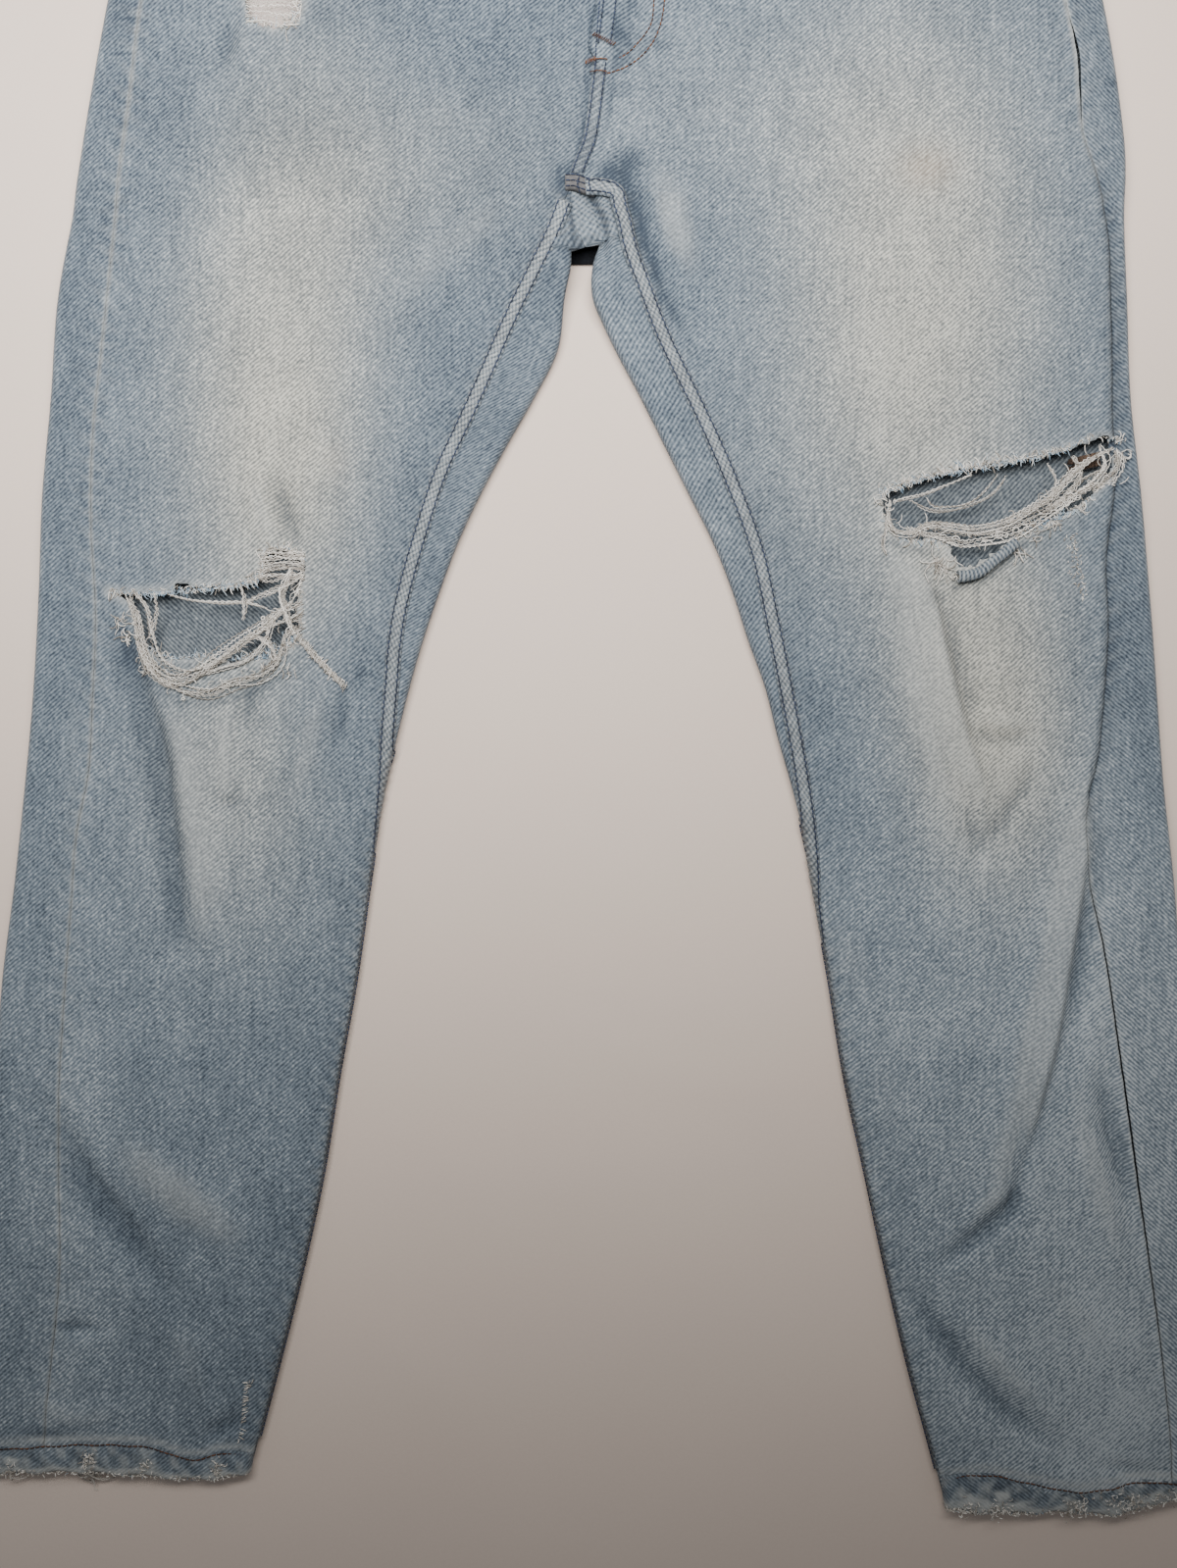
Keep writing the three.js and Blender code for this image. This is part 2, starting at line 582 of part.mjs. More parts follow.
function tornRoll() {
  const ends = [[207, 2], [219, 4.5], [230, 12], [239, 20.5]];
  const line = new THREE.SplineCurve(ends.map(([x, y]) => new THREE.Vector2(x, y)));
  const surface = (row, column) => {
    const at = line.getPoint(1 - row);
    const across = line.getTangent(1 - row).rotateAround(new THREE.Vector2(), Math.PI / 2);
    const turn = mix(-0.35, 1.15, column) * Math.PI;
    const x = at.x + across.x * ROLL_RADIUS * Math.cos(turn);
    const y = at.y + across.y * ROLL_RADIUS * Math.cos(turn);
    const lift = topOf(at.x, at.y) + ROLL_RADIUS + 2 * GAP;
    return new THREE.Vector3(x, y, lift + ROLL_RADIUS * Math.sin(turn));
  };
  return wall(sheet(surface, steps(1, 0, 5), steps(0, 1, 8), 1), ROLL_WALL);
}

const BACK_POCKET = { width: 150, top: 398, side: 268, point: 244 };

function backPocket(leg) {
  const { width, top, side, point } = BACK_POCKET;
  const middle = centre(top) - leg.inward * 122;
  const half = width / 2;
  const narrow = half - 7;
  const outline = [[-half, top], [half, top], [narrow, side], [0, point], [-narrow, side]];
  const shape = new THREE.Shape(outline.map(([x, y]) => new THREE.Vector2(x + middle, y)));
  return new THREE.ExtrudeGeometry(shape, { depth: POCKET_WALL, bevelEnabled: false });
}

// ---------------------------------------------------------------- the garment

const denim = new THREE.MeshStandardMaterial({ color: 0x9fb2c0, roughness: 0.92, metalness: 0 });
const denimBlue = new THREE.MeshStandardMaterial({ color: 0x8ba3b5, roughness: 0.92, metalness: 0 });
const seamDenim = new THREE.MeshStandardMaterial({ color: 0xa9b8c2, roughness: 0.9, metalness: 0 });
const cotton = new THREE.MeshStandardMaterial({ color: 0xe2d8cd, roughness: 0.95, metalness: 0 });
const brass = new THREE.MeshStandardMaterial({ color: 0xa98f5a, roughness: 0.4, metalness: 0.9 });
const copper = new THREE.MeshStandardMaterial({ color: 0x8a6a4c, roughness: 0.42, metalness: 0.9 });

const jeans = new THREE.Group();
jeans.name = "ripped_jeans";

function add(name, geometry, material) {
  const mesh = new THREE.Mesh(geometry, material);
  mesh.name = name;
  jeans.add(mesh);
}

add("front_right", cut(frontPanel(rightLeg), RIGHT_KNEE, RIGHT_THIGH), denim);
add("front_left", cut(frontPanel(leftLeg), LEFT_KNEE), denim);
for (const [name, leg] of [["right", rightLeg], ["left", leftLeg]]) {
  add(`back_${name}`, backPanel(leg), denimBlue);
  add(`yoke_${name}`, yoke(leg), denimBlue);
  add(`hem_${name}`, hem(leg), seamDenim);
  add(`inseam_${name}`, inseamStrip(leg), seamDenim);
  add(`pocket_facing_${name}`, pocketFacing(leg), denimBlue);
  add(`pocket_bag_${name}`, pocketBag(leg), cotton);
  add(`back_pocket_${name}`, backPocket(leg), denimBlue);
}
add("front_rise", riseStrip(), seamDenim);
add("fly_shield", flyStrip(-SHIELD.out, SHIELD.past, SHIELD.low, GAP, BAG_WALL), denimBlue);
add("zip", flyStrip(-ZIP.width / 2, ZIP.width / 2, ZIP.low, BAG_WALL + 2 * GAP, ZIP.thick), brass);
add("torn_flap_left", tornRoll(), seamDenim);
add("waistband", waistband(), denim);
add("belt_loop_front_right", frontLoop(FRONT_LOOPS[0]), seamDenim);
add("belt_loop_front_left", frontLoop(FRONT_LOOPS[1]), seamDenim);
["right", "centre", "left"].forEach((name, i) => add(`belt_loop_back_${name}`, backLoop(BACK_LOOPS[i]), seamDenim));
add("waist_button", button(), copper);

// The table is at z = 0, and the origin is under the middle of the whole garment.
const middle = new THREE.Box3().setFromObject(jeans).getCenter(new THREE.Vector3());
jeans.position.set(-middle.x, -middle.y, 0);

export default jeans;
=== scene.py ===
"""Light-wash ripped jeans laid flat with the front up. Sizes here are in millimetres, and are
turned to metres where a mesh is made."""

import math

import bmesh
import bpy
import numpy as np
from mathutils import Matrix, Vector


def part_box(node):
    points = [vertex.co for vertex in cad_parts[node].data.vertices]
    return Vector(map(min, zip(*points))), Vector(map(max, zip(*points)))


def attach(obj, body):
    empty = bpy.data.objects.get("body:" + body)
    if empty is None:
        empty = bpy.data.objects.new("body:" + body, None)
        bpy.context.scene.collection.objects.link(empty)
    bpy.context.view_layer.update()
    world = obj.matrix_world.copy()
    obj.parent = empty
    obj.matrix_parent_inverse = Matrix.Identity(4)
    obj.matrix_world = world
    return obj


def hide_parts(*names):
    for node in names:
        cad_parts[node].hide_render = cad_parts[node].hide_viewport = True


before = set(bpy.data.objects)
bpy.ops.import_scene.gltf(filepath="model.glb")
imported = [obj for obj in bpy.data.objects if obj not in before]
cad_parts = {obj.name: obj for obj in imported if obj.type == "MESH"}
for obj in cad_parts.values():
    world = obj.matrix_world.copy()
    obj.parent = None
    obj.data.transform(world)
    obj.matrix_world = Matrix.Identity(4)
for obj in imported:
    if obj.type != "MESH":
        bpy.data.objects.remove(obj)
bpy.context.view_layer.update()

MM = 0.001
R = 4.3  # radius of the soft fold along a leg's edge
QUARTER = R * math.pi / 2
CLOTH = 1.1  # thickness of worn denim
STEP = 2.7  # spacing of the cloth's own points
LIP = 194.0  # lowest line of the crotch, where the seat turns under
CROSS = 224.0  # where the front rise meets the inseams
WAIST = 474.0
HALF_WAIST = 240.0
BAND = 38.0
BACK_TOP = WAIST - 34.6  # where the backs meet the yokes
HEM_HIDDEN = 6.5  # how far the legs go on under their hems


# ------------------------------------------------------------------ curves and soft shapes


def line(*points):
    """A smooth function of one number through (at, value) points."""
    p = np.array(sorted(points), float)
    xs, ys = p[:, 0], p[:, 1]
    up = np.gradient(ys, xs) if len(xs) > 2 else np.full(2, (ys[1] - ys[0]) / (xs[1] - xs[0]))

    def at(x):
        x = np.clip(np.asarray(x, float), xs[0], xs[-1])
        i = np.clip(np.searchsorted(xs, x, side="right") - 1, 0, len(xs) - 2)
        h = xs[i + 1] - xs[i]
        t = (x - xs[i]) / h
        whole = (1 + 2 * t) * (1 - t) ** 2 * ys[i] + t * t * (3 - 2 * t) * ys[i + 1]
        return whole + h * (t * (1 - t) ** 2 * up[i] - t * t * (1 - t) * up[i + 1])

    return at


def smooth(a, b, x):
    t = np.clip((np.asarray(x, float) - a) / (b - a), 0, 1)
    return t * t * (3 - 2 * t)


def bell(x, width):
    return np.exp(-((np.asarray(x, float) / width) ** 2))


def mix(a, b, t):
    return a + (b - a) * t


def waves(x, y, length, seed, count=8):
    """Smooth unevenness between about -1 and 1, with bumps of about that length."""
    rng = np.random.default_rng(seed)
    total = 0
    for _ in range(count):
        turn, phase = rng.uniform(0, math.tau, 2)
        pitch = length * rng.uniform(0.65, 1.6)
        total = total + np.sin(math.tau * (x * math.cos(turn) + y * math.sin(turn)) / pitch + phase)
    return total / math.sqrt(count)


def run_of(points):
    """The distance along a line at each of its points."""
    return np.concatenate([[0], np.cumsum(np.linalg.norm(np.diff(points, axis=0), axis=1))])


def length_of(path):
    return np.linalg.norm(np.diff(np.array(path, float), axis=0), axis=1).sum()


def across_of(points):
    """Unit vectors square to a flat line, on its left."""
    way = np.gradient(points, axis=0)
    way /= np.linalg.norm(way, axis=1)[:, None]
    return np.stack([-way[:, 1], way[:, 0]], 1)


def spline(points, count):
    """count points along a smooth line through the given ones, evenly spaced."""
    p = np.array(points, float)
    t = run_of(p)
    if len(p) == 2:
        s = np.linspace(0, t[-1], count)
        return np.stack([np.interp(s, t, p[:, k]) for k in range(p.shape[1])], 1)
    up = np.gradient(p, t, axis=0)
    fine = np.linspace(0, t[-1], max(count * 3, 40))
    i = np.clip(np.searchsorted(t, fine, side="right") - 1, 0, len(t) - 2)
    h = (t[i + 1] - t[i])[:, None]
    u = ((fine - t[i]) / h[:, 0])[:, None]
    q = (1 + 2 * u) * (1 - u) ** 2 * p[i] + u * u * (3 - 2 * u) * p[i + 1]
    q = q + h * (u * (1 - u) ** 2 * up[i] - u * u * (1 - u) * up[i + 1])
    run = run_of(q)
    s = np.linspace(0, run[-1], count)
    return np.stack([np.interp(s, run, q[:, k]) for k in range(q.shape[1])], 1)


def to_path(x, y, path):
    """(signed distance, share of the way along) of points from a path; left of it is negative."""
    p = np.array(path, float)
    run = run_of(p)
    best = np.full(np.shape(x), 1e9)
    side = np.zeros(np.shape(x))
    share = np.zeros(np.shape(x))
    for k in range(len(p) - 1):
        dx, dy = p[k + 1] - p[k]
        size = math.hypot(dx, dy)
        t = np.clip(((x - p[k, 0]) * dx + (y - p[k, 1]) * dy) / size**2, 0, 1)
        ox, oy = x - p[k, 0] - dx * t, y - p[k, 1] - dy * t
        away = np.hypot(ox, oy)
        near = away < best
        best = np.where(near, away, best)
        side = np.where(near, np.sign(ox * dy - oy * dx), side)
        share = np.where(near, (run[k] + size * t) / run[-1], share)
    return best * side, share


def in_box(x, y, path, pad):
    """True where points are within pad of the box round a path."""
    low, high = np.min(path, axis=0) - pad, np.max(path, axis=0) + pad
    return (x > low[0]) & (x < high[0]) & (y > low[1]) & (y < high[1])


def inside(x, y, outline):
    """True where points lie inside a closed outline."""
    p = np.array(outline, float)
    hit = np.zeros(np.shape(x), bool)
    for (x0, y0), (x1, y1) in zip(p, np.roll(p, -1, axis=0)):
        crosses = (y0 > y) != (y1 > y)
        at = x0 + (y - y0) * (x1 - x0) / (y1 - y0 if y1 != y0 else 1e-9)
        hit ^= crosses & (x < at)
    return hit


# ------------------------------------------------------------------ the cut, as laid

CENTRE = line(
    (500, 8), (400, 8), (332, 7), (320, 5), (310, 3), (296, 2), (279, 1), (263, -1), (247, -4),
    (236, -8), (CROSS, -13), (208, -14), (LIP, -6),
)


class Leg:
    """One leg. Its edges and seams are lines that give x at a height y. inward is the sign of x
    towards the garment's middle."""

    def from_outer(self, x, y):
        return (x - self.outer(y)) * self.inward

    def from_side(self, x, y):
        return (x - self.side(y)) * self.inward

    def at_outer(self, y, c):
        """x on the cloth at the length c in from the outer edge."""
        return self.outer(y) + self.inward * offset(c)


right = Leg()
right.name, right.inward = "right", 1
right.outer = line(
    (530, -231), (468, -236), (404, -266), (332, -282), (276, -292), (220, -301), (164, -311),
    (108, -315), (52, -320), (-4, -322), (-60, -325), (-116, -330), (-172, -336), (-228, -343),
    (-284, -347), (-340, -350), (-396, -352), (-452, -355), (-520, -357),
)
right.inner = line(
    (LIP, -14), (182, -14.5), (164, -18), (136, -22), (108, -36), (80, -52), (52, -67), (24, -80),
    (-4, -90.5), (-32, -100), (-60, -108), (-88, -115), (-116, -122), (-172, -131), (-228, -139),
    (-284, -149), (-340, -158), (-396, -170), (-452, -184), (-520, -202),
)
right.side = line(
    (468, -228), (400, -247), (332, -261), (275, -268), (237, -273), (171, -280), (133, -284),
    (85, -289), (34, -290), (-14, -287.5), (-71, -289), (-109, -291), (-147, -298), (-185, -301),
    (-233, -305), (-312, -309), (-398, -308), (-464, -314), (-520, -318),
)
right.seam = line(
    (CROSS, -14), (212, -19), (201, -23), (180, -34), (156, -47), (123, -62), (98, -73), (66, -88),
    (34, -99), (-23, -114), (-65, -118), (-116, -122.5),
)
right.seam_end, right.hem = -122, -498

left = Leg()
left.name, left.inward = "left", -1
left.outer = line(
    (530, 240), (468, 244), (404, 275), (332, 293), (304, 298), (276, 302), (248, 305), (220, 305),
    (164, 307), (108, 309), (52, 315), (-4, 320), (-60, 324), (-116, 328), (-172, 334), (-228, 338),
    (-284, 343), (-340, 346), (-396, 350), (-452, 353), (-540, 358),
)
left.inner = line(
    (LIP, 3), (182, -1.5), (164, -2), (150, 4), (136, 11), (108, 26), (80, 40), (52, 54), (24, 68),
    (-4, 79), (-32, 88), (-60, 98), (-88, 105), (-116, 113), (-144, 120), (-172, 125), (-228, 135),
    (-284, 144), (-340, 156), (-396, 168), (-452, 181), (-508, 196), (-540, 204),
)
left.side = line(
    (468, 236), (400, 257), (332, 269), (301, 275), (275, 277), (257, 279), (240, 285), (221, 291),
    (203, 295), (161, 297), (94, 298), (60, 299), (9, 293.5), (-23, 295), (-61, 293), (-99, 289),
    (-141, 280), (-172, 284), (-204, 290), (-257, 298), (-331, 309), (-388, 317), (-445, 325),
    (-493, 330), (-540, 331),
)
left.seam = line(
    (CROSS, -8), (222, 4), (214, 12), (198, 17), (184, 21), (170, 27), (152, 34), (120, 49),
    (98, 60), (60, 77), (20, 92), (-20, 101), (-60, 109), (-116, 119), (-172, 126.5),
)
left.seam_end, left.hem = -174, -517

LEGS = (right, left)

KNEE_R = [
    (-279, -5), (-270, -6), (-256, -5.5), (-243, -5), (-241, -1.5), (-230, -2.5), (-219, -3),
    (-211, -4), (-199, 0), (-192, 3), (-191, 13), (-184, 18), (-172, 16), (-168, 11), (-168, 2),
    (-169.5, -7), (-170.5, -20), (-169, -29), (-175, -37), (-184, -42), (-203, -45), (-228, -43),
    (-248, -43), (-257, -38), (-262, -26), (-266, -12),
]
KNEE_L = [
    (163, 51), (170, 54.5), (178, 57), (192, 61), (212, 65), (228, 68), (243, 70), (257, 73),
    (272, 77), (281, 80), (290, 83.5), (300, 80.5), (301, 76), (297, 69), (293, 60), (284, 50),
    (270, 40), (256, 33), (244, 28), (239, 24.5), (225, 15), (212, 9), (205, 13), (202, 22),
    (192, 25), (180, 24.5), (170, 29), (165, 40),
]
THIGH_R = [(-201, 338), (-190, 344), (-175, 341), (-168, 331), (-171, 321), (-183, 316), (-196, 321)]
HOLES = (KNEE_R, KNEE_L, THIGH_R)


def ragged(outline, seed, size=0.55):
    """The outline of a tear: the same line, with its cut yarns standing a little in and out."""
    rng = np.random.default_rng(seed)
    p = spline(list(outline) + [outline[0]], 14 * len(outline))[:-1]
    turn = np.roll(p, -1, axis=0) - np.roll(p, 1, axis=0)
    turn = np.stack([-turn[:, 1], turn[:, 0]], 1) / np.linalg.norm(turn, axis=1)[:, None]
    return p + turn * (rng.normal(0, size, len(p)) + 0.6 * np.sin(np.arange(len(p)) * 0.7))[:, None]


RAGGED = [ragged(h, 11 + k) for k, h in enumerate(HOLES)]

# Where the stitches of each hem run.
HEM_SEAM = {
    "right": line(
        (-357, -497), (-340, -497), (-318, -495), (-290, -494), (-256, -496), (-228, -503),
        (-214, -499.5), (-198, -502)
    ),
    "left": line(
        (196, -516), (220, -512), (253, -517), (276, -521), (292, -520), (309, -516), (332, -517),
        (360, -518)
    ),
}

# Creases placed one by one: path, height (a trough is negative), width on its left, width on its right.
CREASES = [
    # the garment's right leg
    ([(-272, -30), (-262, -56), (-251, -88), (-243, -144), (-237, -208)], -2.6, 12, 5),
    ([(-255, -55), (-240, -92), (-231, -150), (-226, -200)], 1.7, 8, 16),
    ([(-183, 62), (-178, 40), (-171, 19)], -1.8, 7, 5),
    ([(-196, 58), (-190, 38), (-183, 22)], 1.2, 7, 7),
    ([(-144, -58), (-147, -76), (-150, -98)], -1.8, 5, 5),
    ([(-158, -62), (-166, -96), (-178, -140)], 0.9, 8, 8),
    ([(-209, 322), (-212, 296)], -1.4, 6, 5),
    ([(-201, 318), (-203, 298)], 0.9, 6, 6),
    ([(-206, -62), (-212, -100), (-211, -122)], 1.3, 8, 5),
    ([(-196, -55), (-205, -86)], -1.4, 5, 7),
    ([(-219, -124), (-211, -128), (-204, -123)], -1.3, 4, 4),
    ([(-310, -306), (-290, -345), (-268, -373), (-243, -414)], -2.0, 13, 8),
    ([(-270, -326), (-235, -352), (-198, -380)], 1.6, 15, 12),
    ([(-262, -398), (-240, -430), (-226, -470)], 1.1, 12, 12),
    ([(-308, -427), (-284, -429)], -1.1, 4, 5),
    ([(-226, -492), (-203, -479)], -1.2, 5, 6),
    ([(-322, -470), (-300, -478), (-270, -474)], 0.9, 7, 7),
    ([(-298, -60), (-300, -120), (-306, -200)], 0.8, 8, 10),
    ([(-120, -150), (-152, -190), (-170, -260)], 0.7, 14, 14),
    ([(-38, 222), (-80, 196), (-120, 150)], 0.9, 16, 16),
    ([(-30, 262), (-90, 262), (-160, 246)], 0.6, 14, 18),
    # the garment's left leg
    ([(180, 8), (189, -4), (197, -37), (210, -90), (222, -122)], 2.9, 13, 4.5),
    ([(196, 0), (206, -40), (219, -88)], -1.6, 4, 9),
    ([(170, 20), (177, -8), (187, -66), (204, -140)], 1.5, 12, 5),
    ([(218, -86), (234, -91), (250, -89)], -1.5, 5, 5),
    ([(220, -79), (250, -80)], 0.9, 6, 6),
    ([(219, -156), (236, -134), (254, -104)], -1.1, 5, 6),
    ([(213, -120), (219, -156)], -1.1, 5, 4),
    ([(281, -126), (277, -165), (269, -214), (260, -264), (248, -310), (238, -345)], 3.6, 15, 3.8),
    ([(290, -150), (281, -200), (272, -262)], -1.6, 5, 9),
    ([(246, -300), (243, -330), (239, -364)], -1.7, 6, 5),
    ([(241, -356), (222, -373), (201, -389)], -1.7, 6, 6),
    ([(232, -350), (214, -366)], 1.2, 6, 6),
    ([(184, -410), (204, -438), (225, -463), (266, -497)], -1.7, 9, 8),
    ([(204, -420), (230, -450), (262, -478)], 1.3, 10, 9),
    ([(289, -286), (297, -320), (307, -360)], -1.8, 6, 8),
    ([(276, -290), (286, -335), (300, -390)], 1.3, 9, 8),
    ([(250, -380), (268, -410), (300, -440)], 0.9, 12, 10),
    ([(290, -507), (328, -511)], -1.0, 4, 4),
    ([(263, 100), (274, 60), (272, 20), (268, -30)], 0.9, 9, 9),
    ([(140, -190), (158, -240), (170, -330)], 0.7, 14, 14),
    ([(12, 248), (21, 220), (27, 192), (41, 168)], -1.7, 4, 8),
    ([(34, 236), (44, 204), (58, 172)], 1.2, 10, 14),
    ([(30, 262), (90, 270), (150, 262)], 0.6, 14, 14),
]

# How hard the left front laps over its side seam, down the leg.
LAP = line(
    (520, 0), (262, 0), (236, 0.5), (205, 1), (100, 1), (0, 1), (-100, 1), (-132, 0.8), (-150, 0.1),
    (-170, 0), (-540, 0),
)


def relief(x, y):
    """Height of the creases and the unevenness of the cloth on top."""
    x, y = np.broadcast_arrays(np.asarray(x, float), np.asarray(y, float))
    h = 0.42 * waves(x, y, 120, 3) + 0.24 * waves(x, y * 0.8, 46, 4) + 0.1 * waves(x * 1.2, y, 19, 5)
    for path, rise, before, after in CREASES:
        near = in_box(x, y, path, 3 * max(before, after))
        if not near.any():
            continue
        away, share = to_path(x[near], y[near], spline(path, 10) if len(path) > 2 else path)
        # The path runs down the leg, so its left hand is +X.
        width = np.where(away < 0, after, before)
        ends = np.clip(np.sin(math.pi * (0.06 + 0.88 * share)), 0, 1) ** 0.6
        h[near] += 2.0 * rise * ends * bell(away, width)
    return h


def base(x, y):
    """The underside: flat on the table, lifted by the pockets under the seat, arched at the crotch."""
    seat = smooth(208, 234, y)
    arch = bell(x + 8, 46) * np.where(y > LIP, bell(y - LIP, 60), bell(y - LIP, 38))
    return 2.1 * seat + 10.5 * arch


def tube(d):
    """Height above the middle of a fold, by the distance in from its edge."""
    c = np.clip(1 - d / R, 0, 1)
    return R * np.sqrt(1 - c * c)


def offset(c):
    """Distance in from a folded edge, by the length of cloth."""
    c = np.abs(c)
    return np.where(c < QUARTER, R * (1 - np.cos(np.minimum(c, QUARTER) / R)), R + c - QUARTER)


def cloth_of(d):
    d = np.maximum(d, 0)
    return np.where(d < R, R * np.arccos(np.clip(1 - d / R, -1, 1)), QUARTER + d - R)


def crown(d):
    """The leg is a little fuller away from its edges."""
    return 2.2 * (1 - np.exp(-np.maximum(d - R, 0) / 22))


def near_hole(x, y):
    """0 away from the tears, up to 1 at their edges."""
    close = np.full(np.shape(x), 1e9)
    for hole in HOLES:
        box = in_box(x, y, hole, 20)
        if box.any():
            away, _ = to_path(x[box], y[box], hole + hole[:1])
            close[box] = np.minimum(close[box], np.abs(away))
    return bell(close, 5)


def seam_x(leg, y):
    """The inseam, kept a hair inside the leg's edge where it has gone under."""
    edge = leg.inner(y) - leg.inward * 0.35
    x = np.where(y < leg.seam_end, edge, leg.seam(y))
    return np.where(y < LIP, np.minimum(x * leg.inward, edge * leg.inward) * leg.inward, x)


def ropes(x, y, d_in, d_side):
    """The waves of roping beside the inseam and beside the side seam."""
    inner = np.sin(math.tau * (y - 0.7 * d_in) / 9.5 + 1.2 * waves(x, y, 40, 8))
    return inner, np.sin(math.tau * (y + 0.6 * d_side) / 11.5 + 1.5 * waves(x, y, 50, 9))


def pucker(x, y, leg):
    """Roping beside the felled seams, where the cloth is drawn in."""
    d_in = (seam_x(leg, y) - x) * leg.inward
    d_side = leg.from_side(x, y)
    rope, rope2 = ropes(x, y, d_in, d_side)
    low = smooth(10, -20, y - LIP)
    inner = 0.34 * np.exp(-np.abs(d_in) / 8) * np.where(y < 225, 1, 0)
    return rope * inner * mix(0.8, 1, low) + 0.2 * rope2 * np.exp(-np.abs(d_side) / 6)


def top(leg, x, y, extra=True):
    """Outside of the cloth on top of the garment."""
    x, y = np.broadcast_arrays(np.asarray(x, float), np.asarray(y, float))
    d_out = leg.from_outer(x, y)
    below = y < LIP
    d_in = np.where(below, (leg.inner(y) - x) * leg.inward, 1e3)
    d = np.minimum(d_in, d_out)
    t = tube(d)
    full = t / R
    z = base(x, y) + R + t + crown(np.minimum(d, 60)) * full
    if extra:
        z = z + full * (relief(x, y) + pucker(x, y, leg) + 0.7 * near_hole(x, y))
    return z


# ------------------------------------------------------------------ materials


def nodes_of(name):
    m = bpy.data.materials.new(name)
    m.use_nodes = True
    tree = m.node_tree
    tree.nodes.clear()
    out = tree.nodes.new("ShaderNodeOutputMaterial")
    bsdf = tree.nodes.new("ShaderNodeBsdfPrincipled")
    tree.links.new(bsdf.outputs[0], out.inputs[0])
    return m, tree, bsdf


def put(tree, kind, inputs=(), **props):
    n = tree.nodes.new(kind)
    for k, v in props.items():
        setattr(n, k, v)
    for k, v in dict(inputs).items():
        if isinstance(v, bpy.types.NodeSocket):
            tree.links.new(v, n.inputs[k])
        else:
            n.inputs[k].default_value = v
    return n


def math_node(tree, op, a, b=0.0, clamp=False):
    return put(tree, "ShaderNodeMath", {0: a, 1: b}, operation=op, use_clamp=clamp).outputs[0]


def add(tree, a, b):
    return math_node(tree, "ADD", a, b)


def times(tree, a, b, clamp=False):
    return math_node(tree, "MULTIPLY", a, b, clamp)


def noise(tree, vector, scale, detail, rough=0.5):
    inputs = {"Vector": vector, "Scale": scale, "Detail": detail, "Roughness": rough}
    return put(tree, "ShaderNodeTexNoise", inputs).outputs[0]


def finish(tree, bsdf, colour, **values):
    """Joins the base colour and sets the other inputs, whose names have _ for a space."""
    tree.links.new(colour, bsdf.inputs["Base Color"])
    for key, value in values.items():
        bsdf.inputs[key.replace("_", " ")].default_value = value


def blend(tree, share, a, b):
    n = tree.nodes.new("ShaderNodeMix")
    n.data_type = "RGBA"
    for k, v in ((0, share), (6, a), (7, b)):
        if isinstance(v, bpy.types.NodeSocket):
            tree.links.new(v, n.inputs[k])
        else:
            n.inputs[k].default_value = v if k == 0 else (*v, 1)
    return n.outputs[2]


def attribute(tree, name):
    return put(tree, "ShaderNodeAttribute", attribute_name=name).outputs["Fac"]


def ramp(tree, value, stops):
    n = put(tree, "ShaderNodeValToRGB", {0: value})
    r = n.color_ramp
    for k, (at, colour) in enumerate(stops):
        e = r.elements[k] if k < 2 else r.elements.new(at)
        e.position = at
        e.color = (*colour, 1)
    return n.outputs[0]


def srgb(r, g, b):
    return tuple(((c / 255 + 0.055) / 1.055) ** 2.4 if c > 10 else c / 3294 for c in (r, g, b))


TWILL = 0.0019  # metres from one twill line to the next
# Colours by how little dye is left. A ramp's two ends come first.
BLUES = [
    (0.0, (0.035, 0.047, 0.066)),
    (1.0, (0.52, 0.56, 0.575)),
    (0.25, (0.09, 0.114, 0.141)),
    (0.5, (0.16, 0.195, 0.228)),
    (0.75, (0.27, 0.31, 0.345)),
]
CREAMS = [
    (0.0, (0.055, 0.062, 0.068)),
    (1.0, (0.56, 0.54, 0.47)),
    (0.25, (0.105, 0.112, 0.112)),
    (0.5, (0.185, 0.19, 0.18)),
    (0.75, (0.31, 0.305, 0.27)),
]


